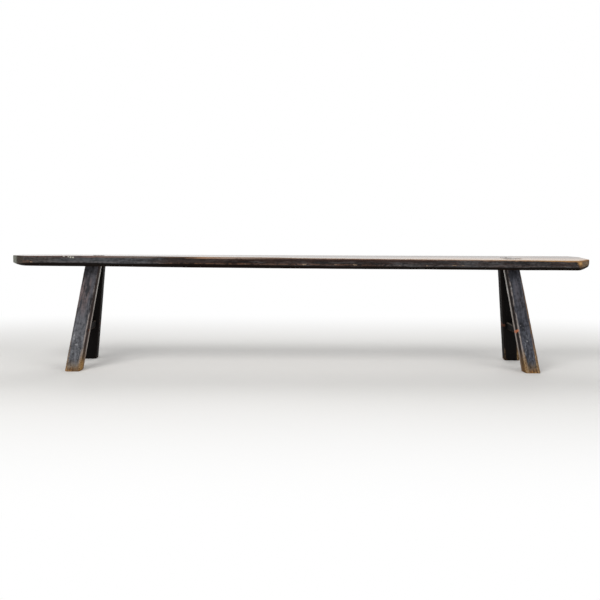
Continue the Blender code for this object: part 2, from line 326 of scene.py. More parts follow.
# Growth of the outer side at top and foot, of the inner side, and of the inner side's rear
LEG_GROWTH = (
    (0.0008, 0.0022, 0.0004, 0.0004, 0.0, 0.0050), (-0.0008, 0.0066, -0.0010, -0.0026, 0.0018, 0.0042),
    (0.0, 0.0020, 0.0012, 0.0022, 0.0, 0.0), (0.0, 0.0056, 0.0046, 0.0046, 0.0, 0.0),
)
# Chips of the outer face: across and up in the leg's axes, reach across and up, and strength
LEG_CHIPS = (
    ((-0.018, -0.299, 0.004, 0.010, 0.9), (-0.017, -0.313, 0.004, 0.005, 0.8),
     (-0.002, -0.336, 0.007, 0.003, 1.0), (0.010, -0.352, 0.005, 0.004, 0.7)),
    ((-0.023, -0.088, 0.003, 0.005, 1.0), (-0.0125, -0.2455, 0.003, 0.003, 1.0),
     (-0.004, -0.2571, 0.006, 0.0016, 0.9), (0.002, -0.3135, 0.003, 0.004, 1.0)),
    ((0.012, -0.170, 0.004, 0.006, 0.9), (-0.010, -0.318, 0.006, 0.003, 0.9)),
    ((-0.015, -0.225, 0.005, 0.003, 0.9), (0.006, -0.345, 0.004, 0.006, 0.9)),
)
# Groove across the outer face: across and up in the leg's axes, reach and depth
GROOVES = (None, (0.005, -0.158, 0.014, 0.0007), None, None)
# Wear of the inner and the outer arrises
ARRIS_WEAR = ((0.26, 0.20), (0.30, 0.38), (0.00, 0.24), (0.06, 0.18))
PINK = (0.70, 0.12, 0.2, 0.3)
FOOT_WEAR = (0.62, 0.72, 0.34, 0.38)
BORDER_WEAR = (0.30, 0.85, 0.0, 0.0)
GILT = (1.0, 0.2, 0.0, 0.0)
# Share of red-brown undercoat on the sides: little on the back legs, which keeps them dark as painted shade
UNDERCOAT_AND_SHADE = (0.9, 0.30, 0.10, 0.10)
LOW_FILM = (0.78, 0.06, 0.4, 0.3)
CROWN_WAX = (0.60, 0.0, 0.50, 0.40)
# Strength and height of the rubbed patch round a peg
PEG_HALO = (None, (0.95, -0.2640), None, (0.18, -0.2585))
PEG_GRIME = (0.24, 0.0, 0.20, 0.12)

# Seeds of the noises: the first leg's, wedge's and peg's, the step to the next, and the rails'
LEG_SEEDS = (20, 10)
WEDGE_SEEDS = (100, 5)
PEG_SEEDS = (150, 5)
RAIL_SEEDS = {"rail_left": 70, "rail_right": 80}
NOISE_SHIFT = (3.7, -5.3, 7.1)
RIPPLE_SHIFT = (17.3, -9.1, 5.7)


class Signal:
    """One output of a node, which sums can be written with."""

    def __init__(self, nodes, socket):
        self.nodes = nodes
        self.socket = socket

    def math(self, operation, *others):
        """A sum of this signal and what follows."""
        return self.nodes.math(operation, self, *others)

    def __add__(self, other):
        return self.math("ADD", other)

    def __sub__(self, other):
        return self.math("SUBTRACT", other)

    def __rsub__(self, other):
        return self.nodes.math("SUBTRACT", other, self)

    def __mul__(self, other):
        return self.math("MULTIPLY", other)

    def __abs__(self):
        return self.math("ABSOLUTE")

    __radd__ = __add__
    __rmul__ = __mul__


class Nodes:
    """A node tree, filled from sums, masks and noises."""

    def __init__(self, tree):
        self.tree = tree
        self.new = tree.nodes.new

    def feed(self, socket, value):
        """Link a signal to a socket, or set the socket's own value: a colour by its screen levels."""
        if isinstance(value, Signal):
            self.tree.links.new(value.socket, socket)
        elif socket.type == "RGBA":
            socket.default_value = shade(*value)
        else:
            socket.default_value = value

    def fill(self, node, *values):
        """Feed a node's first sockets, and take its first output."""
        for socket, value in zip(node.inputs, values):
            self.feed(socket, value)
        return Signal(self, node.outputs[0])

    def math(self, operation, *values):
        """A sum of one, two or three numbers."""
        node = self.new("ShaderNodeMath")
        node.operation = operation
        return self.fill(node, *values)

    def seen(self):
        """1 for a ray from the camera, or one that gloss or glass sends on, and 0 for lighting."""
        outputs = self.new("ShaderNodeLightPath").outputs
        names = ("Is Camera Ray", "Is Glossy Ray", "Is Transmission Ray")
        camera, gloss, glass = (Signal(self, outputs[name]) for name in names)
        return most(most(camera, gloss), glass)


class Recipe(Nodes):
    """A material, in the axes of the bench or of one piece."""

    def __init__(self, name, matrix=None):
        self.material = bpy.data.materials.new(name)
        self.material.use_nodes = True
        super().__init__(self.material.node_tree)
        self.shader = self.tree.nodes["Principled BSDF"]
        source = self.new("ShaderNodeTexCoord")
        self.place = Signal(self, source.outputs["Object"])
        self.normal = Signal(self, source.outputs["Normal"])
        if matrix:
            own = self.new("ShaderNodeMapping")
            own.vector_type = "TEXTURE"
            own.inputs["Location"].default_value = matrix.translation
            own.inputs["Rotation"].default_value = matrix.to_euler("XYZ")
            self.place = self.fill(own, self.place)

    def painted(self, name):
        """A number that the mesh holds at its points."""
        node = self.new("ShaderNodeAttribute")
        node.attribute_name = name
        return Signal(self, node.outputs["Fac"])

    def finish(self, colour, roughness, height, gloss=0.5, wax=None):
        """Link colour, roughness, bump and a coat of wax, with the height in metres."""
        self.feed(self.shader.inputs["Base Color"], colour)
        self.feed(self.shader.inputs["Roughness"], roughness)
        self.shader.inputs["Specular IOR Level"].default_value = gloss
        if wax:
            self.feed(self.shader.inputs["Coat Weight"], wax)
            self.shader.inputs["Coat Roughness"].default_value = WAX_ROUGHNESS
        bump = self.new("ShaderNodeBump")
        bump.inputs["Distance"].default_value = 1.0
        self.feed(bump.inputs["Height"], height)
        self.tree.links.new(bump.outputs[0], self.shader.inputs["Normal"])
        return self.material


class Coat:
    """A colour that others are laid over, one by one."""

    def __init__(self, colour):
        self.colour = colour

    def lay(self, share, colour):
        """Lay a colour over what is there."""
        self.colour = blend(share, self.colour, colour)


def split(vector):
    """The three numbers of a vector."""
    node = vector.nodes.new("ShaderNodeSeparateXYZ")
    vector.nodes.fill(node, vector)
    return [Signal(vector.nodes, output) for output in node.outputs]


def join(x, y, z):
    """A vector of three numbers."""
    return x.nodes.fill(x.nodes.new("ShaderNodeCombineXYZ"), x, y, z)


def grain(place, scale, seed, detail=3.0, rough=0.55):
    """Noise from 0 to 1, with its own scale along each axis, in features a metre."""
    nodes = place.nodes
    spread = nodes.new("ShaderNodeVectorMath")
    spread.operation = "MULTIPLY_ADD"
    scales = scale if isinstance(scale, tuple) else (scale,) * 3
    node = nodes.new("ShaderNodeTexNoise")
    nodes.fill(node, nodes.fill(spread, place, scales, [seed * shift for shift in NOISE_SHIFT]))
    node.inputs["Scale"].default_value = 1.0
    node.inputs["Detail"].default_value = detail
    node.inputs["Roughness"].default_value = rough
    return Signal(nodes, node.outputs["Fac"])


def step(value, low, high):
    """0 at low, 1 at high, smooth between them. Low may be above high."""
    node = value.nodes.new("ShaderNodeMapRange")
    node.interpolation_type = "SMOOTHSTEP"
    ends = (low, high, 0.0, 1.0) if low < high else (high, low, 1.0, 0.0)
    return value.nodes.fill(node, value, *ends)


def near(value, middle, reach, core):
    """1 where a value is within the core's reach of a middle, and 0 past the whole reach."""
    return step(abs(value - middle), reach, core)


def most(one, other):
    """The larger of two signals."""
    return one.math("MAXIMUM", other)


def blend(share, under, over):
    """One colour laid over another, by a share from 0 to 1."""
    node = share.nodes.new("ShaderNodeMix")
    node.data_type = "RGBA"
    for index, value in ((0, share), (6, under), (7, over)):
        share.nodes.feed(node.inputs[index], value)
    return Signal(share.nodes, node.outputs[2])


def ramp(value, stops):
    """Colours along a value from 0 to 1."""
    node = value.nodes.new("ShaderNodeValToRGB")
    elements = node.color_ramp.elements
    while len(elements) < len(stops):
        elements.new(0.5)
    for element, (place, colour) in zip(elements, stops):
        element.position = place
        element.color = shade(*colour)
    return value.nodes.fill(node, value)


def shade(red, green, blue):
    """A colour given in screen levels from 0 to 255."""
    levels = (red / 255, green / 255, blue / 255)
    return tuple(x / 12.92 if x < 0.04045 else ((x + 0.055) / 1.055) ** 2.4 for x in levels) + (1.0,)


def timber(place, pith, seed, colours):
    """Bare wood along the vector's Z axis: its colour, latewood lines and fine streaks."""
    dark, middle, pale = colours
    u, v, _ = split(place)
    drift = grain(place, (3, 3, 1.1), seed, detail=2)
    wander = grain(place, (14, 14, 3), seed + 1, detail=2)
    across = u - pith[0] + (drift - 0.5) * 0.05
    deep = v - pith[1] + (wander - 0.5) * 0.016
    radius = (across * across + deep * deep).math("SQRT")
    ring = (radius * (2 * math.pi / RING_WIDTH)).math("SINE")
    late = (ring * 0.5 + 0.5).math("POWER", 2.5)
    streak = grain(place, (190, 190, 7), seed + 2, detail=4, rough=0.6)
    broad = grain(place, (38, 38, 2.2), seed + 3, detail=3)
    tone = late * 0.42 + streak * 0.45 + broad * 0.55
    colour = ramp(tone, ((0.30, pale), (0.62, middle), (0.95, dark)))
    return colour, late, streak


def seat_field(recipe):
    """What the seat's finish follows: place in the plank, the way it faces, bare wood and noises."""
    x, y, z = split(recipe.place)
    level = z - SEAT_MIDDLE - x * y * WIND_RATE
    place = join(y, level, x)
    nx, ny, up = split(recipe.normal)
    colours = ((62, 36, 22), (128, 86, 52), (186, 140, 92))
    bare, late, streak = timber(place, (0.03, -0.055), 2, colours)
    return SimpleNamespace(
        x=x, y=y, level=level, up=up, bare=bare, late=late, streak=streak,
        rim=recipe.painted("rim"), chips=recipe.painted("chips"),
        top=step(up, 0.72, 0.92), under=step(up, -0.80, -0.92), chamfer=step(up, -0.20, -0.50),
        front=step(ny, -0.3, -0.6), end=step(abs(nx), 0.45, 0.62),
        patch=grain(place, (9, 9, 1.2), 31), smear=grain(place, (42, 42, 2.6), 32),
        cloud=grain(place, (30, 46, 8), 33, detail=4),
        film=grain(place, (140, 170, 24), 34, detail=4, rough=0.65),
        rust=grain(place, (80, 100, 14), 35, detail=4),
        mottle=grain(place, (150, 150, 150), 36, detail=4, rough=0.7),
        saw=grain(place, (26, 26, 160), 37), rub=grain(place, (70, 70, 26), 38, detail=4, rough=0.6),
        fleck=grain(place, (120, 120, 90), 40),
    )


def seat_top(at):
    """The top, stained brown and waxed: its colour, and where it is bare, grimy or rubbed behind."""
    x, y, rim, streak, patch, smear = at.x, at.y, at.rim, at.streak, at.patch, at.smear

    # Worn paler along the front edge
    worn_edge = step(y + (patch - 0.5) * 0.05, *WORN_EDGE_LANE) * step(x, *WORN_EDGE_SPAN)
    sat_on = worn_edge * 0.16 + step(rim, 0.035, 0.004) * 0.10
    worn = step(patch * 0.6 + smear * 0.4 + sat_on, 0.44, 0.68)
    stain = blend(smear, (34, 23, 18), (74, 51, 38))
    coat = Coat(blend(0.84 - worn * 0.46, at.bare, stain))
    coat.lay(step(streak, 0.58, 0.70) * 0.5, (24, 16, 12))
    coat.lay(worn_edge * step(smear, 0.30, 0.60) * 0.55, (204, 180, 150))

    # Bared where people sat, and rubbed brown along the back rim
    bared = step(x + (patch - 0.5) * 0.5, *SAT_SPAN) * step(y + (smear - 0.5) * 0.12, *SAT_LANE)
    coat.lay(bared * step(streak, 0.34, 0.52) * 0.62, (204, 160, 116))
    back_rim = step(rim + (smear - 0.5) * 0.02, 0.034, 0.010)
    back_rim = back_rim * step(y, *BACK_RIM_LANE) * step(x, *BACK_RIM_SPAN)
    coat.lay(back_rim * 0.6, (164, 112, 78))

    # Grime beside the tenon at the front right
    ragged = (smear - 0.5) * 0.03 + (at.mottle - 0.5) * 0.014
    grime = near(x + ragged, *GRIME_SPOT) * near(y - ragged * 0.5, *GRIME_LANE_SPOT)
    coat.lay(grime * 0.85, (34, 25, 24))
    return coat.colour, bared, grime, back_rim


def seat_sides(at):
    """The sides in old paint: slate grey at the left end of the front, and brown black elsewhere."""
    x, level, front, cloud, film, fleck = at.x, at.level, at.front, at.cloud, at.film, at.fleck
    tone = film * 0.6 + fleck * 0.4
    slate = step(x + (cloud - 0.5) * 0.4, *SLATE_SPAN) * front
    greyer = step(x, *GREYER_SPAN) * (1.0 - 0.5 * near(x, *BROWNER_SPOT)) * front
    patches = step(cloud * 0.6 + film * 0.4, 0.47, 0.61) * (0.46 - 0.30 * near(x, *PLAIN_SPOT))
    grey = most(slate, patches + greyer * (0.20 + 0.16 * step(x, *GREYEST_SPAN)))
    dark_paint = blend(step(tone * 0.6 + cloud * 0.4, 0.42, 0.58), (18, 13, 11), (60, 50, 46))
    slate_paint = blend(step(tone, 0.36, 0.64), (46, 46, 48), (86, 87, 90))
    coat = Coat(blend(grey, dark_paint, slate_paint))
    coat.lay(near(x + (cloud - 0.5) * 0.2, *SOOT_SPOT) * front * 0.45, (30, 22, 18))
    coat.lay(step(at.rust, 0.50, 0.64) * (0.26 - 0.18 * slate), (76, 50, 40))

    # Dark brown band below the top arris, along the middle
    under_line = step(level, *UNDER_LINE_LEVEL) * front
    for span in UNDER_LINE_SPANS:
        under_line = under_line * step(x, *span)
    coat.lay(under_line * 0.7, (44, 25, 18))

    # Browner and rubbed towards the left end, with a red-brown patch low down
    brown = step(x + (cloud - 0.5) * 0.2, *BROWN_SPAN) * front
    coat.lay(brown * 0.62, blend(step(tone, 0.36, 0.62), (30, 25, 22), (82, 74, 68)))
    rubbed = near(x + (film - 0.5) * 0.02, *RUBBED_SPOT) * near(level, *RUBBED_LEVEL_SPOT) * front
    coat.lay(rubbed * step(fleck, 0.34, 0.56) * 0.72, (100, 70, 50))

    # Red-brown line under the top arris towards the left end
    upper_line = step(level, *UPPER_LINE_LEVEL) * step(x + (film - 0.5) * 0.1, *UPPER_LINE_SPAN) * front
    coat.lay(upper_line * step(fleck, 0.30, 0.54) * 0.70, (88, 62, 56))

    # Pale rubbed line over the lower chamfer, a little lower in the middle
    drop = LEDGE_DROP
    for span in LEDGE_DROP_SPANS:
        drop = step(x, *span) * drop
    ledge = near(level + drop, *LEDGE_SPOT) * front * step(fleck * 0.5 + film * 0.5, 0.40, 0.56)
    ledge_colour = blend(step(x, *COOL_LEDGE_SPAN), (116, 82, 60), (100, 88, 84))
    coat.lay(ledge * (0.50 - 0.26 * brown), blend(slate, ledge_colour, (104, 98, 96)))
    return coat


def seat_ends(at):
    """Colour of the end grain of both ends, dusty and rubbed, and darker low down."""
    ragged = at.mottle - 0.5
    spotted = step(at.mottle, 0.3, 0.7)
    right = Coat(blend(spotted, (70, 54, 40), (160, 136, 108)))
    right.lay(step(at.level, *END_SHADE_LEVEL) * 0.5, (58, 44, 34))
    left = Coat(blend(spotted, (42, 36, 31), (82, 74, 66)))
    back = step(at.y + ragged * 0.06, *LEFT_TIP_LANE)
    tip = step(at.x + ragged * 0.01, *LEFT_TIP_SPAN) * (1.0 - 0.65 * back)
    left.lay(tip, blend(at.mottle, (98, 100, 92), (150, 152, 142)))
    return blend(step(at.x, *RIGHT_HALF_SPAN), left.colour, right.colour)


def seat_arrises(at):
    """The worn arrises: how worn, their colour, and the share and colour of the rubbed strip beside them."""
    x, up, front, rub = at.x, at.up, at.front, at.rub
    along = x * (1 / RAMP_LENGTH) + 0.5 + (at.cloud - 0.5) * 0.03
    pale_arris, brown_arris = ramp(along, PALE_ARRIS), ramp(along, BROWN_ARRIS)
    wear = 0.30 + 0.36 * step(x, *WORN_ARRIS_SPAN) * front + 0.10 * step(x, *RIGHT_ARRIS_SPAN)
    wear = wear + 0.22 * step(x, *LEFT_ARRIS_SPAN) * front
    worn = step(up, 0.06, 0.30) * step(up, 0.995, 0.93) * step(rub + wear - 1.0, -0.06, 0.05)

    # Bared wood just below the arris, left of the middle
    middle, break_core, break_reach = BARED_BREAK
    below = step(at.level + (rub - 0.5) * 0.003, *BARED_LEVEL) * front * step(x, *WORN_ARRIS_SPAN)
    below = below * step(x, *BARED_SPAN) * step(abs(x - middle), break_core, break_reach)
    worn = most(worn, below * step(rub, 0.30, 0.46) * 0.8)

    turned = up - 0.28 * step(x, *STEEP_ARRIS_SPAN) + (rub - 0.5) * 0.4
    colour = blend(front, at.bare, blend(step(turned, 0.72, 0.94), brown_arris, pale_arris))
    beside = step(at.rim, 0.020, 0.002) * step(rub + wear - 1.0, -0.02, 0.12) * 0.6
    return worn, colour, beside, pale_arris


def seat_corner(at):
    """Golden worn corner between the front and the right end, with painted shade low down and a painted
    highlight: how worn, and its colour.
    """
    x, level, ragged = at.x, at.level, at.mottle - 0.5
    worn = near(x + level * 0.35 + ragged * 0.03, *CORNER_SPOT) * step(at.y, *CORNER_LANE)
    worn = worn * step(at.up, 0.95, 0.6) * step(level, *CORNER_LEVEL)
    # Golden, darker low down as painted shade, with a painted highlight near the top of the corner
    gold = blend(step(level + ragged * 0.012, *GOLD_SHADE_LEVEL), (92, 66, 42), (196, 150, 96))
    glint = near(x - level * 0.5, *GLINT_SPOT) * near(level, *GLINT_LEVEL_SPOT) * at.front
    return worn, blend(glint * 0.8, gold, (224, 176, 110))


def seat_finish():
    """Waxed brown top, painted sides, bare ends, sawn underside, and worn arrises."""
    recipe = Recipe("seat_finish")
    at = seat_field(recipe)
    x, y, top, film, saw = at.x, at.y, at.top, at.film, at.saw
    top_colour, bared, grime, back_rim = seat_top(at)
    worn, worn_colour, beside, beside_colour = seat_arrises(at)
    corner, gold = seat_corner(at)
    sides = seat_sides(at)
    sides.lay(at.end * 0.92, seat_ends(at))
    # Downward chamfers near-black with a brown tinge: painted shade
    sides.lay(at.chamfer * 0.96, blend(film, (8, 3, 1), (22, 12, 5)))
    coat = Coat(blend(top, sides.colour, top_colour))
    coat.lay(at.under, blend(0.78 - saw * 0.2, at.bare, (34, 27, 23)))
    coat.lay(beside * top, beside_colour)
    coat.lay(corner * 0.85, gold)
    coat.lay(worn * 0.92, worn_colour)
    chipped = step(at.chips + (at.mottle - 0.5) * 1.1, 0.40, 0.60)
    coat.lay(chipped, blend(step(at.level, *CHIP_LEVEL), (152, 130, 108), (184, 182, 170)))

    # Matt along the front, and waxed least where the top is bare, grimy or dry
    matt = step(at.rim, 0.030, 0.010) * step(y, *MATT_LANE) * (0.5 + 0.5 * step(x, *MATT_LEFT_SPAN))
    matt = matt * step(x, *MATT_SPAN)
    roughness = 0.12 + 0.08 * at.streak + 0.42 * (1.0 - top) + 0.12 * most(worn, at.under)
    roughness = roughness + at.end * 0.2 + (matt + grime) * top * 0.40 + at.chamfer * 0.35
    height = (at.streak * 0.00005 + at.late * 0.00003) * (1.0 - top * 0.4) - worn * 0.00012
    height = height - chipped * 0.0002 + film * 0.00008 * (1.0 - top) + saw * at.under * 0.0003
    wax = top * (0.18 + 0.30 * step(x, *WAXED_SPAN) + 0.12 * at.patch)
    wax = wax * (1.0 - matt) * (1.0 - 0.8 * step(x, *DRY_END_SPAN))
    wax = wax * (1.0 - 0.35 * step(y, *DRY_BACK_LANE) * step(x, *DRY_BACK_SPAN))
    wax = wax * (1.0 - 0.60 * bared) * (1.0 - grime) * (1.0 - 0.45 * back_rim)
    return recipe.finish(coat.colour, roughness, height, gloss=0.12, wax=wax)


def leg_field(recipe, leg):
    """What a leg's finish follows: place in the leg, the way to its sides, bare wood and noises."""
    place, seed = recipe.place, leg.seed
    x, y, z = split(place)
    colours = ((84, 50, 26), (156, 108, 60), (210, 164, 104))
    bare, late, streak = timber(place, (0.05, 0.07), seed, colours)
    inner_top, inner_foot = leg.growth[2:4]
    return SimpleNamespace(
        x=x, y=y, z=z, bare=bare, late=late, streak=streak, chips=recipe.painted("chips"),
        outside=step(y * leg.face, *OUTER_FACE), inward=x * -leg.side,
        inset=z * ((inner_top - inner_foot) * AXIS_RISE / SHOULDER_HEIGHT) + inner_top,
        cloud=grain(place, (26, 26, 9), seed + 1, detail=4),
        film=grain(place, (110, 110, 14), seed + 2, detail=4),
        rub=grain(place, (90, 90, 26), seed + 3, detail=4, rough=0.65), speck=grain(place, 240, seed + 4),
        strokes=grain(place, (110, 60, 44), seed + 5, detail=4, rough=0.7),
        runs=grain(place, (150, 150, 11), seed + 6, detail=4, rough=0.6),
        marks=grain(place, (60, 60, 210), seed + 7), fleck=grain(place, (120, 120, 90), seed + 8),
    )


def leg_film(leg, at):
    """Black finish, red-brown undercoat on the sides but little on the back legs as painted shade, and
    outside a grey film of faded paint and painted sheen, marks and scuffs.
    """
    z, outside, cloud, film = at.z, at.outside, at.cloud, at.film
    coat = Coat(blend(film, (5, 4, 4), (17, 14, 13)))
    # Little undercoat on the back legs keeps their sides dark: painted shade
    undercoat = step(abs(at.x), *SIDE_FACE) * UNDERCOAT_AND_SHADE[leg.index]
    coat.lay(undercoat * (0.35 + 0.5 * cloud), (62, 44, 38))
    # Grey film on the outer face: faded paint and painted sheen, bluish on the front right leg as a painted
    # reflection
    tone = step(film * 0.45 + at.fleck * 0.35 + cloud * 0.20, 0.38, 0.62)
    high_grey_and_sheen = blend(tone, *(COOL_GREY_AND_SHEEN if leg.name == "front_right" else HIGH_GREY_AND_SHEEN))
    low_grey_and_sheen = blend(tone, (66, 67, 71), (128, 129, 134))
    lower = step(z + (cloud - 0.5) * 0.1, *LOW_FILM_SPAN) * LOW_FILM[leg.index]
    grey_film_and_sheen = outside * step(cloud * 0.55 + film * 0.45, 0.20, 0.50)
    coat.lay(grey_film_and_sheen * 0.90, blend(lower, high_grey_and_sheen, low_grey_and_sheen))
    upper, end = PINK_SPANS
    pink = outside * step(z + (cloud - 0.5) * 0.12, *upper) * step(film, 0.38, 0.56) * step(z, *end)
    pink = pink * step(at.inward + (at.rub - 0.5) * 0.02, 0.016, 0.004)
    coat.lay(pink * PINK[leg.index], (118, 102, 100))
    marks = outside * step(at.marks, 0.56, 0.70)
    coat.lay(marks * 0.35, (28, 26, 27))
    coat.lay(outside * step(z, *SCUFF_SPAN) * step(at.strokes, 0.54, 0.68) * 0.6, (138, 142, 148))
    return coat, marks


def leg_foot(leg, at, coat):
    """Foot worn to the wood, most along the inner side, with dirt ground into it: how worn."""
    z, outside, runs, speck, rub = at.z, at.outside, at.runs, at.speck, at.rub
    dusty = outside * step(z + (runs - 0.5) * 0.05 + (at.fleck - 0.5) * 0.03, *DUST_SPAN)
    coat.lay(dusty * 0.8, blend(step(at.fleck * 0.5 + runs * 0.5, 0.38, 0.60), (66, 52, 40), (140, 122, 98)))
    rise = step(z, *FOOT_SPAN) + step(at.inward, 0.010, 0.026) * step(z, *INNER_FOOT_SPAN) * 0.55
    foot = step(rise * FOOT_WEAR[leg.index] + runs * 0.40 + rub * 0.45, 0.74, 1.10)
    dirt = step(speck * 0.45 + runs * 0.55, 0.40, 0.58)
    coat.lay(foot * 0.9, blend(dirt * 0.8, at.bare, (50, 38, 31)))
    if leg.face < 0:
        low_down = step(z + (runs - 0.5) * 0.06, *BORDER_SPAN)
        flecked = step(runs * 0.5 + speck * 0.5, 0.40, 0.60)
        border = step(at.inward - at.inset + (rub - 0.5) * 0.007 - z * 0.06, 0.0385, 0.0425) * outside
        coat.lay(border * low_down * BORDER_WEAR[leg.index], blend(flecked, (104, 82, 58), (172, 148, 118)))
        inner = step(at.inward - at.inset, *INNER_FACE) * (1.0 - outside) * low_down
        browned = blend(flecked, (62, 46, 30), (106, 82, 56))
        gilt = blend(flecked, (118, 84, 44), (176, 138, 86))
        lowest = step(z + (runs - 0.5) * 0.03, *GILT_SPAN) * GILT[leg.index]
        coat.lay(inner * (0.75 + 0.2 * lowest), blend(lowest, browned, gilt))
    hem = step(z + (speck - 0.5) * 0.01, *HEM_SPAN)
    coat.lay(hem * step(speck, 0.44, 0.56) * 0.8, (186, 146, 94))
    return foot


def leg_arrises(leg, at, coat):
    """Arrises, grey-brown above and tan below, a pale back edge that is a painted reflection, and the patch
    round a peg: how worn.
    """
    x, y, z, inward, rub, speck = at.x, at.y, at.z, at.inward, at.rub, at.speck
    edge = (LEG_WIDTH / 2 - abs(x)) + (LEG_DEPTH / 2 - abs(y)) + at.inset * step(inward, 0.0, 0.005)
    lower = step(z + (at.cloud - 0.5) * 0.08, *LOW_ARRIS_SPAN)
    on_edge = step(edge + (rub - 0.5) * 0.006 - 0.0012 * lower, 0.0066, 0.0046)
    outer = step(inward, 0.0, -0.004)
    inner_wear, outer_wear = ARRIS_WEAR[leg.index]
    wear = inner_wear + (outer_wear - inner_wear) * outer
    if leg.face < 0:
        wear = wear + 0.34 * step(z, *RUBBED_ARRIS_SPAN) * (1.0 - outer) * at.outside
    arris = on_edge * step(rub + wear + 0.20 * lower + (speck - 0.5) * 0.40 * outer, 0.72, 0.94)
    upper_arris = blend(outer, (162, 152, 147), (124, 94, 66))
    lower_arris = blend(step(speck, 0.40, 0.60), (112, 84, 56), (176, 146, 106))
    coat.lay(arris * 0.8, blend(lower, upper_arris, lower_arris))
    if leg.face < 0:
        # Pale strip at the rear of the front legs' inner sides: a painted reflection, white high up, greyer
        # lower and worn tan low down
        strip = step(y + (rub - 0.5) * 0.010, 0.0045, 0.0100) * step(inward, *INNER_FACE)
        back_reflection_colour = blend(step(z, *BACK_REFLECTION_SPAN), (220, 218, 214), (166, 156, 150))
        back_reflection_colour = blend(lower * 0.8, back_reflection_colour, (122, 96, 68))
        coat.lay(strip * step(rub, 0.24, 0.42) * 0.85, back_reflection_colour)
    if PEG_HALO[leg.index]:
        strength, height = PEG_HALO[leg.index]
        halo = near(z + (rub - 0.5) * 0.006, height, 0.0066, 0.0036) * step(inward, *OUTER_FACE)
        coat.lay(halo * strength * step(speck, 0.30, 0.50), (196, 118, 84))
    return arris


def leg_finish(leg):
    """Black finish of a leg: grey and scuffed outside, worn to golden wood at foot and arrises."""
    recipe = Recipe(f"finish_leg_{leg.name}", leg.matrix)
    at = leg_field(recipe, leg)
    coat, marks = leg_film(leg, at)
    foot = leg_foot(leg, at, coat)
    arris = leg_arrises(leg, at, coat)

    # Small chips and the waxed end grain of the tenon
    chipped = step(at.chips + (at.speck - 0.5) * 0.9, 0.42, 0.66)
    coat.lay(chipped * 0.7, (156, 156, 158))
    crown = step(at.z, *CROWN_SPAN)
    coat.lay(crown, blend(at.speck, (36, 24, 19), (88, 62, 45)))

    bared = most(foot, arris)
    roughness = 0.46 + 0.16 * at.film + 0.20 * (1.0 - at.outside) + 0.12 * bared
    roughness = roughness * (1.0 - crown) + 0.22 * crown
    height = at.streak * 0.00012 + at.film * 0.00010 - bared * 0.00018 - chipped * 0.0002
    height = height + at.late * bared * 0.0001 + at.fleck * 0.00012 * at.outside - marks * 0.00015
    return recipe.finish(coat.colour, roughness, height, gloss=0.10, wax=crown * CROWN_WAX[leg.index])


def rail_finish(name, side, seed):
    """Black finish of a rail, rubbed brown along its arrises, with a painted highlight along its top inner
    arris.
    """
    recipe = Recipe(f"finish_{name}", rail_matrix(side))
    x, y, z = split(recipe.place)
    place = join(x, z, y)
    colours = ((70, 42, 26), (124, 84, 52), (176, 132, 88))
    bare, late, streak = timber(place, (0.04, 0.05), seed, colours)
    film = grain(place, (100, 100, 14), seed + 1, detail=4)
    rub = grain(place, (80, 80, 26), seed + 2, detail=4, rough=0.65)
    edge = (RAIL_THICKNESS / 2 - abs(x)) + (RAIL_HEIGHT / 2 - abs(z))
    worn = step(edge + (rub - 0.5) * 0.007, 0.0066, 0.0036) * step(rub, 0.42, 0.56)
    # Pale streak along the trodden top inner arris, brighter towards the front: a painted highlight
    trodden = step(x * side, -0.0120, -0.0160) * step(z, 0.0105, 0.0145)
    trodden = trodden * step(rub * 0.5 + film * 0.5, 0.42, 0.54)
    coat = Coat(blend(film, (4, 3, 3), (14, 11, 10)))
    coat.lay(worn * 0.22, bare)
    coat.lay(trodden * (0.30 + 0.45 * step(y, 0.01, -0.07)), (150, 144, 136))
    height = streak * 0.00012 + film * 0.0001 - worn * 0.00015 + late * worn * 0.0001
    return recipe.finish(coat.colour, 0.72 + 0.16 * film + 0.1 * worn, height, gloss=0.08)


def wedge_wood(leg, seed):
    """Dark end grain of a wedge, with the lines of its fibres."""
    recipe = Recipe(f"wood_wedge_{leg.name}", leg.matrix)
    colours = ((38, 26, 20), (84, 60, 44), (124, 92, 66))
    bare, late, streak = timber(recipe.place, (0.02, 0.03), seed, colours)
    grime = grain(recipe.place, 160, seed + 1, detail=4)
    colour = blend(step(grime, 0.40, 0.62) * 0.7, bare, (26, 18, 15))
    return recipe.finish(colour, 0.20 + 0.15 * grime, streak * 0.0001 + late * 0.0001, gloss=0.12)


def peg_wood(leg, seed):
    """Orange-brown end grain of a peg, rubbed or dirty."""
    recipe = Recipe(f"wood_peg_{leg.name}", peg_matrix(leg))
    colours = ((104, 52, 30), (168, 94, 58), (204, 132, 86))
    bare, late, streak = timber(recipe.place, (0.012, 0.016), seed, colours)
    grime = grain(recipe.place, 260, seed + 1, detail=4)
    grime_share = step(grime + PEG_GRIME[leg.index], 0.46, 0.70)
    colour = blend(grime_share * 0.8, bare, (40, 24, 18))
    return recipe.finish(colour, 0.6 + 0.2 * grime, streak * 0.0001 + late * 0.0001, gloss=0.15)


class Leg:
    """One corner of the bench, with its name, its signs along and across, and its place."""

    def __init__(self, index, name, side, face):
        self.index = index
        self.name = name
        self.side = side
        self.face = face
        self.seed = LEG_SEEDS[0] + LEG_SEEDS[1] * index
        self.growth = LEG_GROWTH[index]
        place = Vector((side * LEG_STATION, face * LEG_OFFSET, SHOULDER_HEIGHT))
        turn = Euler((face * SPLAY_ACROSS, -side * AXIS_LEAN_ALONG, 0), "ZYX")
        self.matrix = Matrix.Translation(place) @ turn.to_matrix().to_4x4()


def rail_matrix(side):
    """Place and lean of a rail in the bench."""
    place = Matrix.Translation((side * RAIL_STATION, 0, RAIL_LEVEL))
    return place @ Matrix.Rotation(-side * SPLAY_ALONG, 4, "Y")


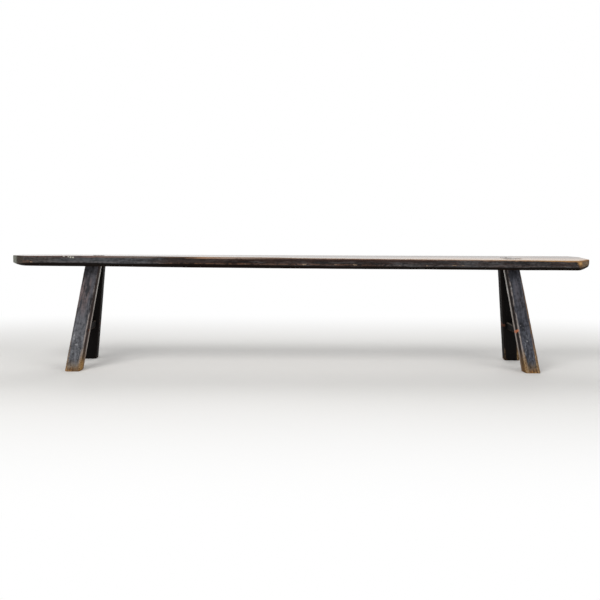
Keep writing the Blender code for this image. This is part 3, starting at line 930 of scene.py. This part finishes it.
def peg_matrix(leg):
    """Place of a peg, with its length on its own Z axis."""
    centre = Vector((leg.side * RAIL_STATION, leg.face * (LEG_INNER_FACE + PEG_SETBACK), RAIL_LEVEL))
    centre = leg.matrix.inverted() @ centre
    return leg.matrix @ Matrix.Translation((0, centre.y, centre.z)) @ Matrix.Rotation(math.pi / 2, 4, "Y")


def smooth_step(low, high, value):
    """0 below low, 1 above high, and smooth between. Low may be above high."""
    share = min(1.0, max(0.0, (value - low) / (high - low)))
    return share * share * (3 - 2 * share)


def ripples(rows, place, seed=0):
    """Smooth noise at a place, added up from rows of a height, features a metre, and a seed."""
    total = 0.0
    for height, scales, own in rows:
        spot = [value * scale for value, scale in zip(place, scales)] + [0.0, 0.0]
        spot = [value + shift * (seed + own) for value, shift in zip(spot, RIPPLE_SHIFT)]
        total += height * noise.noise(Vector(spot))
    return total


def add_object(name, data):
    """A new object in the scene."""
    made = bpy.data.objects.new(name, data)
    bpy.context.scene.collection.objects.link(made)
    return made


def as_mesh(name, bm):
    """A mesh made of a bmesh, which is freed."""
    mesh = bpy.data.meshes.new(name)
    bm.to_mesh(mesh)
    bm.free()
    return mesh


def mesh_piece(name, rings, matrix=Matrix()):
    """Skin a list of rings of points, all of one length, and close the two ends."""
    bm = bmesh.new()
    rows = [[bm.verts.new(matrix @ point) for point in ring] for ring in rings]
    count = len(rows[0])
    for low, high in zip(rows, rows[1:]):
        for i in range(count):
            j = (i + 1) % count
            bm.faces.new((low[i], low[j], high[j], high[i]))
    bm.faces.new(list(reversed(rows[0])))
    bm.faces.new(rows[-1])
    bmesh.ops.recalc_face_normals(bm, faces=bm.faces)
    mesh = as_mesh(name, bm)
    mesh.shade_smooth()
    mesh.set_sharp_from_angle(angle=SHARP_ANGLE)
    return add_object(name, mesh)


def shrunk(ring, share):
    """A ring drawn in towards its own middle."""
    middle = sum(ring, Vector()) / len(ring)
    return [middle + (point - middle) * share for point in ring]


def cutter(bm, matrix):
    """A shape for a cut or a join."""
    piece = add_object("cutter", as_mesh("cutter", bm))
    piece.matrix_world = matrix
    return piece


def block(width, depth, low, high, tip_share=1.0):
    """A box on the Z axis from low to high, its thickness along X shrunk at the bottom."""
    bm = bmesh.new()
    bmesh.ops.create_cube(bm, size=1.0)
    bmesh.ops.scale(bm, vec=(width, depth, high - low), verts=bm.verts)
    bmesh.ops.translate(bm, vec=(0, 0, (low + high) / 2), verts=bm.verts)
    bottom = [vert for vert in bm.verts if vert.co.z < (low + high) / 2]
    bmesh.ops.scale(bm, vec=(tip_share, 1, 1), verts=bottom)
    return bm


def peg_hole(leg):
    """A round bar that cuts the hole of a leg's peg, in the leg or its rail."""
    bm = bmesh.new()
    radius = PEG_DIAMETER / 2 + FIT_GAP
    bmesh.ops.create_cone(
        bm, cap_ends=True, segments=PEG_SIDES, depth=2 * LEG_WIDTH, radius1=radius, radius2=radius
    )
    return cutter(bm, peg_matrix(leg))


def carve(piece, steps):
    """Apply cuts and joins to a piece, and remove the shapes that made them."""
    for operation, other in steps:
        modifier = piece.modifiers.new(operation.lower(), "BOOLEAN")
        modifier.operation = operation
        modifier.solver = "EXACT"
        modifier.object = other
    bpy.context.view_layer.update()
    graph = bpy.context.evaluated_depsgraph_get()
    made = bpy.data.meshes.new_from_object(piece.evaluated_get(graph))
    piece.modifiers.clear()
    piece.data = made
    for _, other in steps:
        bpy.data.objects.remove(other)


def paint(piece, name, value_at, matrix=Matrix()):
    """Store a number at each point of a mesh, worked out in the piece's own axes, for its material."""
    layer = piece.data.attributes.new(name, "FLOAT", "POINT")
    own = matrix.inverted()
    layer.data.foreach_set("value", [value_at(own @ vert.co) for vert in piece.data.vertices])


def dress(piece, node, material):
    """Give a piece its material, and put it in the place of its CAD node."""
    piece.data.materials.clear()
    piece.data.materials.append(material)
    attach(piece, "root")
    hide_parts(node)


def chip_share(chips, across, up):
    """How near a point of a face is to the middle of one of its chips."""
    share = 0.0
    for x, z, reach, rise, strength in chips:
        share = max(share, strength * (1 - math.hypot((across - x) / reach, (up - z) / rise) / 2))
    return share


def seat_lift(x, y, z):
    """A point of the untwisted plank, put in its twisted place in the bench."""
    turn = WIND_RATE * x
    rise = y * math.sin(turn) + z * math.cos(turn)
    return Vector((x, y * math.cos(turn) - z * math.sin(turn), SEAT_MIDDLE + rise))


def plan_half_width(x, face):
    """Half the seat's width at a station, with the clipped and rounded corners of one long side."""
    half_width = SEAT_WIDTH / 2
    from_end = SEAT_LENGTH / 2 - abs(x)
    clip_along = CORNER_CLIP_ALONG
    clip_across = LEFT_CLIP_ACROSS if x < 0 else CORNER_CLIP_ACROSS
    if x > 0 and face > 0:
        clip_along, clip_across = BACK_RIGHT_CLIP
    clip = half_width - (clip_along - from_end) * clip_across / clip_along
    slack = LEFT_CORNER_SLACK if x < 0 else RIGHT_CORNER_SLACK
    eased = max(slack - abs(half_width - clip), 0) / slack
    width = min(half_width, clip) - eased * eased * slack / 4
    slope = math.hypot(clip_along, clip_across)
    across, along = clip_along / slope, clip_across / slope
    centre = half_width - clip_across - CLIP_ROUND * (1 - along) / across
    if from_end < CLIP_ROUND * (1 - along):
        reach = CLIP_ROUND - from_end
        width = min(width, centre + math.sqrt(max(CLIP_ROUND ** 2 - reach ** 2, 0)))
    return width


def edge_side(x, face, half_width, top, low):
    """The points of one long side of a cross-section, from the top arris down."""
    edge = half_width - EDGE_WEAR + ripples(EDGE_RIPPLES, (x, face))
    radius = max(ARRIS_RADIUS + ripples(ARRIS_RIPPLES, (x, face)), LEAST_RADIUS)
    radius += RIGHT_END_WEAR * smooth_step(*RIGHT_END_SPAN, x)
    if face < 0:
        worn = FRONT_WEAR + LEFT_FRONT_WEAR * smooth_step(*LEFT_FRONT_SPAN, x)
        radius += worn * smooth_step(*FRONT_SPAN, x)
        for middle, reach, depth in ARRIS_DENTS:
            radius += depth * smooth_step(reach, 0, abs(x - middle))
    taper = smooth_step(0, LEFT_CHAMFER_TAPER, SEAT_LENGTH / 2 + x)
    chamfer = LOWER_CHAMFER - CHAMFER_LOSS * smooth_step(*CHAMFER_LOSS_SPAN, x)
    chamfer = min(chamfer + ripples(CHAMFER_RIPPLES, (x, face)), (top - low) / 2)
    chamfer = max(chamfer * taper, LEAST_CHAMFER)
    chamfer_rise = min(chamfer * UNDER_CHAMFER_RISE / LOWER_CHAMFER, (top - low) / 2)
    soft = min(SOFT_EDGE + abs(ripples(SOFT_RIPPLES, (x, face))), chamfer / 3)

    side = []
    for i in range(ARRIS_STEPS + 1):
        angle = math.pi / 2 * i / ARRIS_STEPS
        side.append((edge - radius * (1 - math.sin(angle)), top - radius * (1 - math.cos(angle))))
    high, foot = top - radius, low + chamfer_rise
    side += [(edge, high + (foot - high) * i / SIDE_LANES) for i in range(1, SIDE_LANES)]
    side += [(edge, foot + soft), (edge - soft * SOFT_SHARE, foot)]
    for i in range(1, CHAMFER_LANES):
        side.append((edge - chamfer * i / CHAMFER_LANES, low + chamfer_rise * (1 - i / CHAMFER_LANES)))
    side += [(edge - chamfer + soft * SOFT_SHARE, low + soft * SOFT_SHARE), (edge - chamfer - soft, low)]
    return [(face * y, z) for y, z in side]


def seat_ring(x):
    """One cross-section of the plank, from the top's back edge round by the front."""
    from_end = SEAT_LENGTH / 2 - abs(x)
    inset = 0.0
    if from_end < END_ARRIS:
        inset = END_ARRIS - math.sqrt(END_ARRIS ** 2 - (END_ARRIS - from_end) ** 2)
    front_width, back_width = (plan_half_width(x, face) - inset for face in (-1, 1))
    bevel_rise = RIGHT_BEVEL_RISE if x > 0 else END_BEVEL_RISE
    bevel = bevel_rise * max(1 - from_end / END_BEVEL_ALONG, 0) ** BEVEL_POWER
    belly = BELLY * smooth_step(*BELLY_REACH, abs(x - BELLY_MIDDLE)) + SAG * smooth_step(*SAG_SPAN, x)
    top = SEAT_THICKNESS / 2 - inset
    low = bevel + inset - SEAT_THICKNESS / 2 - belly
    front = edge_side(x, -1, front_width, top, low)
    back = edge_side(x, 1, back_width, top, low)
    top_span, low_span = front[0][0] - back[0][0], back[-1][0] - front[-1][0]
    shares = [i / TOP_LANES for i in range(1, TOP_LANES)]
    outline = [(back[0][0] + top_span * share, top) for share in shares] + front
    outline += [(front[-1][0] + low_span * share, low) for share in shares] + back[::-1]

    crest = CREST_ALL * smooth_step(*CREST_RIGHT_SPAN, x) + CREST_LEFT * smooth_step(*CREST_LEFT_SPAN, x)
    crest *= smooth_step(*CREST_END_SPAN, x)
    points = []
    for y, z in outline:
        lift = crest * smooth_step(front_width - CREST_REACH, front_width, -y) * smooth_step(low, top, z)
        if z > top - SURFACE_MARGIN:
            from_side = (front_width if y < 0 else back_width) - abs(y)
            inside = smooth_step(*RIM_REACH, from_side) * smooth_step(*END_REACH, from_end)
            z -= TOP_HOLLOW * smooth_step(*HOLLOW_REACH, from_side) * smooth_step(*HOLLOW_END_REACH, from_end)
            z += inside * ripples(TOP_RIPPLES, (x, y))
        elif z > low + SURFACE_MARGIN:
            y += ripples(SIDE_RIPPLES, (x, y, z))
        else:
            z += ripples(UNDER_RIPPLES, (x, y))
        points.append(seat_lift(x, y, z + lift))
    return points


def seat_stations():
    """Places of the cross-sections: even along the plank and close at its rounded ends."""
    inner = SEAT_LENGTH / 2 - CORNER_CLIP_ALONG
    count = round(2 * inner / SEAT_STEP)
    middle = [inner * (2 * i / count - 1) for i in range(count + 1)]
    tail = [inner + (CORNER_CLIP_ALONG - END_ARRIS) * i / END_STEPS for i in range(1, END_STEPS + 1)]
    corner = SEAT_LENGTH / 2 - END_ARRIS
    tail += [corner + END_ARRIS * math.sin(math.pi / 2 * i / ROUND_STEPS) for i in range(1, ROUND_STEPS + 1)]
    return [-x for x in reversed(tail)] + middle + tail


def seat_rim(point):
    """How far a point of the seat lies inside the plank's outline."""
    across = plan_half_width(point.x, 1 if point.y > 0 else -1) - abs(point.y)
    lengthways = SEAT_LENGTH / 2 - abs(point.x)
    return min(across, lengthways + abs(point.y) / 4)


def seat_chips(point):
    """How near a point of the seat's front is to the middle of a chip."""
    if point.y > 0 or seat_rim(point) > CHIP_REACH:
        return 0.0
    return chip_share(FRONT_CHIPS, point.x, point.z - SEAT_MIDDLE - point.x * point.y * WIND_RATE)


def build_seat(legs):
    """The seat plank, worn and twisted, with the mortises of the legs."""
    rings = [seat_ring(x) for x in seat_stations()]
    left_cap = [shrunk(rings[0], share) for share in CAP_SHARES]
    right_cap = [shrunk(rings[-1], share) for share in reversed(CAP_SHARES)]
    seat = mesh_piece("seat_plank_worn", left_cap + rings + right_cap)
    cuts = []
    for leg in legs:
        hole = block(TENON_WIDTH + 2 * FIT_GAP, TENON_DEPTH + 2 * FIT_GAP, -LEG_DEPTH, 2 * SEAT_THICKNESS)
        cuts.append(("DIFFERENCE", cutter(hole, leg.matrix)))
    carve(seat, cuts)
    paint(seat, "rim", seat_rim)
    paint(seat, "chips", seat_chips)
    dress(seat, "seat_plank", seat_finish())


def post_section(width, depth, cuts, flats=12):
    """The outline of a squared post with four chamfers, from its front left corner."""
    corners = [(-1, -1), (1, -1), (1, 1), (-1, 1)]
    points = []
    for i, (sx, sy) in enumerate(corners):
        nx, ny = corners[(i + 1) % 4]
        corner = Vector((sx * width / 2, sy * depth / 2))
        along = Vector((nx - sx, ny - sy)).normalized()
        before = Vector((sx - corners[i - 1][0], sy - corners[i - 1][1])).normalized()
        start, end = corner - before * cuts[i], corner + along * cuts[i]
        middle = corner - (before - along) * cuts[i] * CUT_BULGE
        points += [start, start.lerp(middle, CUT_EASE), end.lerp(middle, CUT_EASE), end]
        far = Vector((nx * width / 2, ny * depth / 2)) - along * cuts[(i + 1) % 4]
        points += [end.lerp(far, k / flats) for k in range(1, flats)]
    return points


def height_on_leg(leg, x, y, height):
    """Place along a leg's own axis at which a point of its section reaches a height over the floor."""
    rise = leg.matrix.to_3x3()[2]
    return (height - leg.matrix.translation.z - (rise.x * x + rise.y * y)) / rise.z


def seat_on_leg(leg, x, y, level, gap=0.0):
    """Place along a leg's own axis at which a point of its section reaches a level in the plank."""
    spot = leg.matrix.translation + leg.matrix.to_3x3() @ Vector((x, y, 0))
    turn = WIND_RATE * spot.x
    height = SEAT_MIDDLE + spot.y * math.tan(turn) + level / math.cos(turn)
    return height_on_leg(leg, x, y, height - gap)


def leg_growth(leg, x, y, share):
    """How far a point of a leg's side stands off the squared post, at a share of the way down."""
    outer_top, outer_foot, inner_top, inner_foot, skew_top, skew_foot = leg.growth
    across = x * leg.side / (LEG_WIDTH / 2)
    if across > 0:
        return leg.side * across * (outer_top + (outer_foot - outer_top) * share)
    rearward = 0.5 - y * leg.face / LEG_DEPTH
    growth = inner_top + (inner_foot - inner_top) * share
    growth += rearward * (skew_top + (skew_foot - skew_top) * share)
    return leg.side * across * growth


def leg_point(leg, point, share, drop):
    """A point of a leg's squared section, worn, and set between the seat and the floor."""
    wobble = LEG_SHARE + ripples(LEG_RIPPLES, (drop, *point), leg.seed)
    x, y = point.x * wobble, point.y * wobble
    x += leg_growth(leg, x, y, share)
    groove = GROOVES[leg.index]
    if groove and y * leg.face > LEG_DEPTH / 2 - LEG_CHAMFER:
        middle, height, reach, depth = groove
        depth *= smooth_step(reach, 0, abs(x - middle)) * smooth_step(GROOVE_REACH, 0, abs(drop + height))
        y -= leg.face * depth
    worn_foot = max(0.0, share - FOOT_SHARES[0]) / (1 - FOOT_SHARES[0])
    chipped = LEG_FOOT_ROUND * (FOOT_ROUND_SHARE + ripples(FOOT_RIPPLES, (x, y), leg.seed))
    shrink = 1 - worn_foot ** 2 * chipped / (LEG_WIDTH / 2)
    x, y = x * shrink, y * shrink
    top = seat_on_leg(leg, x, y, -SEAT_THICKNESS / 2 - SAG, FIT_GAP)
    low = height_on_leg(leg, x, y, 0.0)
    return Vector((x, y, top + (low - top) * share))


def leg_rings(leg):
    """Cross-sections of a leg from the seat's underside to the floor, close at its foot and groove."""
    shares = [i / LEG_STEPS for i in range(LEG_STEPS)] + list(FOOT_SHARES)
    if GROOVES[leg.index]:
        middle = -GROOVES[leg.index][1] * AXIS_RISE / SHOULDER_HEIGHT
        shares += [middle + i * GROOVE_STEP for i in (-1, 0, 1)]
    rings = []
    for share in sorted(shares):
        drop = share * SHOULDER_HEIGHT / AXIS_RISE
        cuts = []
        for corner in range(4):
            cut = LEG_CHAMFER + ripples(LEG_CUT_RIPPLES, (drop, corner), leg.seed)
            cuts.append(max(cut, LEAST_CUT) + FOOT_CUT * smooth_step(*FOOT_CUT_SHARES, share))
        section = post_section(LEG_WIDTH, LEG_DEPTH, cuts)
        rings.append([leg_point(leg, point, share, drop) for point in section])
    return rings


def build_leg(leg):
    """One leg: a worn, chamfered post with its tenon, kerf, mortise and peg hole."""
    start = leg.matrix.translation
    rings = leg_rings(leg)
    rings += [shrunk(rings[-1], share) for share in FOOT_CAP_SHARES]
    post = mesh_piece(f"leg_{leg.name}_worn", rings, leg.matrix)

    tenon = block(TENON_WIDTH, TENON_DEPTH, -LEG_DEPTH / 2, 2 * SEAT_THICKNESS)
    lid = block(LEG_WIDTH * 3, LEG_DEPTH * 3, 0, SEAT_THICKNESS + LEG_DEPTH)
    lid_place = Matrix.Translation(seat_lift(start.x, start.y, SEAT_THICKNESS / 2))
    lid_place @= Matrix.Rotation(WIND_RATE * start.x, 4, "X")
    head = WEDGE_HEAD + WEDGE_GROWTH * LEG_DEPTH / 2 + 2 * FIT_GAP
    tip_share = (WEDGE_TIP + 2 * FIT_GAP) / head
    kerf = block(head, TENON_DEPTH + LEG_DEPTH, LEG_TOP - WEDGE_LENGTH, LEG_TOP + LEG_DEPTH / 2, tip_share)
    reach = 2 * (LEG_INNER_FACE + RAIL_TENON_LENGTH + FIT_GAP)
    half_tenon = RAIL_TENON_HEIGHT / 2 + FIT_GAP
    pocket = block(RAIL_TENON_THICKNESS + 2 * FIT_GAP, reach, -half_tenon, half_tenon)
    carve(post, [
        ("UNION", cutter(tenon, leg.matrix)),
        ("DIFFERENCE", cutter(lid, lid_place)),
        ("DIFFERENCE", cutter(kerf, leg.matrix)),
        ("DIFFERENCE", cutter(pocket, rail_matrix(leg.side))),
        ("DIFFERENCE", peg_hole(leg)),
    ])

    def chips_at(point):
        """How near a point of the outer face is to the middle of a chip."""
        outside = point.y * leg.face > LEG_DEPTH / 2 - LEG_CHAMFER
        return chip_share(LEG_CHIPS[leg.index], point.x, point.z) if outside else 0.0

    paint(post, "chips", chips_at, leg.matrix)
    dress(post, f"leg_{leg.name}", leg_finish(leg))


def build_wedge(leg):
    """One wedge, driven into the end of its tenon and worn with the seat's top."""
    seed = WEDGE_SEEDS[0] + WEDGE_SEEDS[1] * leg.index
    low = LEG_TOP - WEDGE_LENGTH
    rings = []
    for i in range(WEDGE_STEPS + WEDGE_INSETS + 1):
        share = min(i / WEDGE_STEPS, 1.0)
        inset = WEDGE_INSET * max(0, i - WEDGE_STEPS)
        cuts = [WEDGE_CUT + ripples(WEDGE_CUT_RIPPLES, (i, corner), seed) for corner in range(4)]
        ring = []
        for point in post_section(WEDGE_TIP, TENON_DEPTH, cuts, flats=5):
            x, y = point.x, point.y * WEDGE_SHARE
            height = low + (seat_on_leg(leg, x, y, SEAT_THICKNESS / 2) - low) * share
            wide = (WEDGE_TIP + WEDGE_GROWTH * (height - low)) / WEDGE_TIP * (1 - inset / WEDGE_DRAW)
            sunk = inset / 2
            if share == 1.0:
                sunk -= ripples(WEDGE_TOP_RIPPLES, (y,), seed)
            ring.append(Vector((x * wide, y * (1 - inset / (TENON_DEPTH / 2)), height - sunk)))
        rings.append(ring)
    wedge = mesh_piece(f"wedge_{leg.name}_worn", rings, leg.matrix)
    dress(wedge, f"wedge_{leg.name}", wedge_wood(leg, seed))


def build_peg(leg):
    """One hand-cut peg: uneven sides, and ends worn round just proud of the leg."""
    seed = PEG_SEEDS[0] + PEG_SEEDS[1] * leg.index
    sides = (-LEG_WIDTH / 2, LEG_WIDTH / 2)
    low, high = (side + leg_growth(leg, side, 0.0, RAIL_DROP / SHOULDER_HEIGHT) for side in sides)
    levels = [(low + inside, share) for inside, share in reversed(PEG_ENDS)]
    levels += [(z, 1.0) for z in PEG_LANES]
    levels += [(high - inside, share) for inside, share in PEG_ENDS]
    rings = []
    for z, share in levels:
        ring = []
        for i in range(2 * PEG_SIDES):
            angle = math.pi * i / PEG_SIDES
            across, deep = math.cos(angle), math.sin(angle)
            flat = math.cos(math.pi / PEG_SIDES) if i % 2 else 1.0
            radius = PEG_DIAMETER / 2 * flat * share
            radius *= PEG_SHARE + ripples(PEG_RIPPLES, (across, deep, z), seed)
            ring.append(Vector((radius * across, radius * deep, z)))
        rings.append(ring)
    rings = [shrunk(rings[0], 0.5)] + rings + [shrunk(rings[-1], 0.5)]
    peg = mesh_piece(f"peg_{leg.name}_worn", rings, peg_matrix(leg))
    dress(peg, f"peg_{leg.name}", peg_wood(leg, seed))


def build_rail(name, side, legs):
    """One rail: a chamfered bar between two legs, with its tenons and peg holes."""
    seed = RAIL_SEEDS[name]
    matrix = rail_matrix(side)
    rings = []
    for i in range(RAIL_STEPS + 1):
        share = 2 * i / RAIL_STEPS - 1
        cuts = [RAIL_CUT + ripples(RAIL_CUT_RIPPLES, (share, corner), seed) for corner in range(4)]
        ring = []
        for point in post_section(RAIL_THICKNESS, RAIL_HEIGHT, cuts, flats=8):
            wobble = RAIL_SHARE + ripples(RAIL_RIPPLES, (share, *point), seed)
            x, z = point.x * wobble, point.y * wobble
            trodden = RAIL_TREAD * smooth_step(*TREAD_LEVEL, z) * smooth_step(*TREAD_SHARES, abs(share))
            end = LEG_INNER_FACE - z * math.cos(SPLAY_ALONG) * math.tan(SPLAY_ACROSS) - FIT_GAP
            ring.append(Vector((x, end * share, z - trodden)))
        rings.append(ring)
    rail = mesh_piece(f"{name}_worn", rings, matrix)
    half_tenon = RAIL_TENON_HEIGHT / 2
    tenon = block(RAIL_TENON_THICKNESS, 2 * (LEG_INNER_FACE + RAIL_TENON_LENGTH), -half_tenon, half_tenon)
    holes = [("DIFFERENCE", peg_hole(leg)) for leg in legs if leg.side == side]
    carve(rail, [("UNION", cutter(tenon, matrix))] + holes)
    dress(rail, name, rail_finish(name, side, seed))


def place_camera():
    """The camera at the photograph's viewpoint, with no shift."""
    data = bpy.data.cameras.new("photo_camera")
    data.sensor_width = SENSOR_WIDTH
    data.lens = SENSOR_WIDTH * FOCAL_PIXELS / FRAME_PIXELS
    camera = add_object("photo_camera", data)
    place = Matrix.Translation((-CAMERA_SIDE, -CAMERA_DISTANCE, CAMERA_HEIGHT))
    turn = Matrix.Rotation(math.pi / 2 - CAMERA_PITCH, 4, "X") @ Matrix.Rotation(CAMERA_ROLL, 4, "Z")
    camera.matrix_world = Matrix.Rotation(-BENCH_YAW, 4, "Z") @ place @ turn
    bpy.context.scene.camera = camera


def floor_finish():
    """Pale matt floor with a faint mottle, white in the distance."""
    recipe = Recipe("pale_floor")
    x, y, _ = split(recipe.place)
    cloud = grain(recipe.place, 1.3, 5, detail=4)
    recipe.finish(blend(cloud, FLOOR_COLOUR, FLOOR_CLOUD), 0.6 + 0.2 * cloud, cloud * 0.0002, gloss=0.2)
    side = (abs(x) - SEAT_LENGTH / 2).math("MAXIMUM", 0.0)
    depth = (abs(y) - SEAT_WIDTH / 2).math("MAXIMUM", 0.0)
    away = (side * side + depth * depth).math("SQRT")
    lit = Signal(recipe, recipe.shader.outputs[0])
    white = recipe.fill(recipe.new("ShaderNodeEmission"))
    share = step(away, FLOOR_NEAR, FLOOR_FAR) * recipe.seen()
    mixed = recipe.fill(recipe.new("ShaderNodeMixShader"), share, lit, white)
    recipe.feed(recipe.tree.nodes["Material Output"].inputs["Surface"], mixed)
    return recipe.material


def build_world():
    """Soft even light, and a white background."""
    world = bpy.data.worlds.new("studio")
    bpy.context.scene.world = world
    world.use_nodes = True
    world.node_tree.nodes.clear()
    sky = Nodes(world.node_tree)
    shaders = []
    for colour, strength in ((SKY_COLOUR, SKY_STRENGTH), (WHITE, 1.0)):
        background = sky.new("ShaderNodeBackground")
        background.inputs["Color"].default_value = colour
        background.inputs["Strength"].default_value = strength
        shaders.append(Signal(sky, background.outputs[0]))
    mixed = sky.fill(sky.new("ShaderNodeMixShader"), sky.seen(), *shaders)
    sky.feed(sky.new("ShaderNodeOutputWorld").inputs["Surface"], mixed)


def build_stage():
    """Pale floor, white surroundings and soft lamps."""
    bm = bmesh.new()
    bmesh.ops.create_grid(bm, x_segments=1, y_segments=1, size=FLOOR_REACH)
    floor = add_object("floor", as_mesh("floor", bm))
    floor.data.materials.append(floor_finish())
    build_world()
    for name, place, power in LAMPS:
        data = bpy.data.lights.new(name, "AREA")
        data.shape = "DISK"
        data.size = LAMP_SIZE
        data.energy = power
        lamp = add_object(name, data)
        lamp.location = place
        lamp.rotation_mode = "QUATERNION"
        lamp.rotation_quaternion = (Vector(LAMP_AIM) - Vector(place)).to_track_quat("-Z", "Y")
    bpy.context.scene.view_settings.view_transform = "Standard"


place_camera()
build_stage()
all_legs = [Leg(index, *row) for index, row in enumerate(LEG_PLACES)]
build_seat(all_legs)
for each in all_legs:
    build_leg(each)
    build_wedge(each)
    build_peg(each)
build_rail("rail_left", -1, all_legs)
build_rail("rail_right", 1, all_legs)
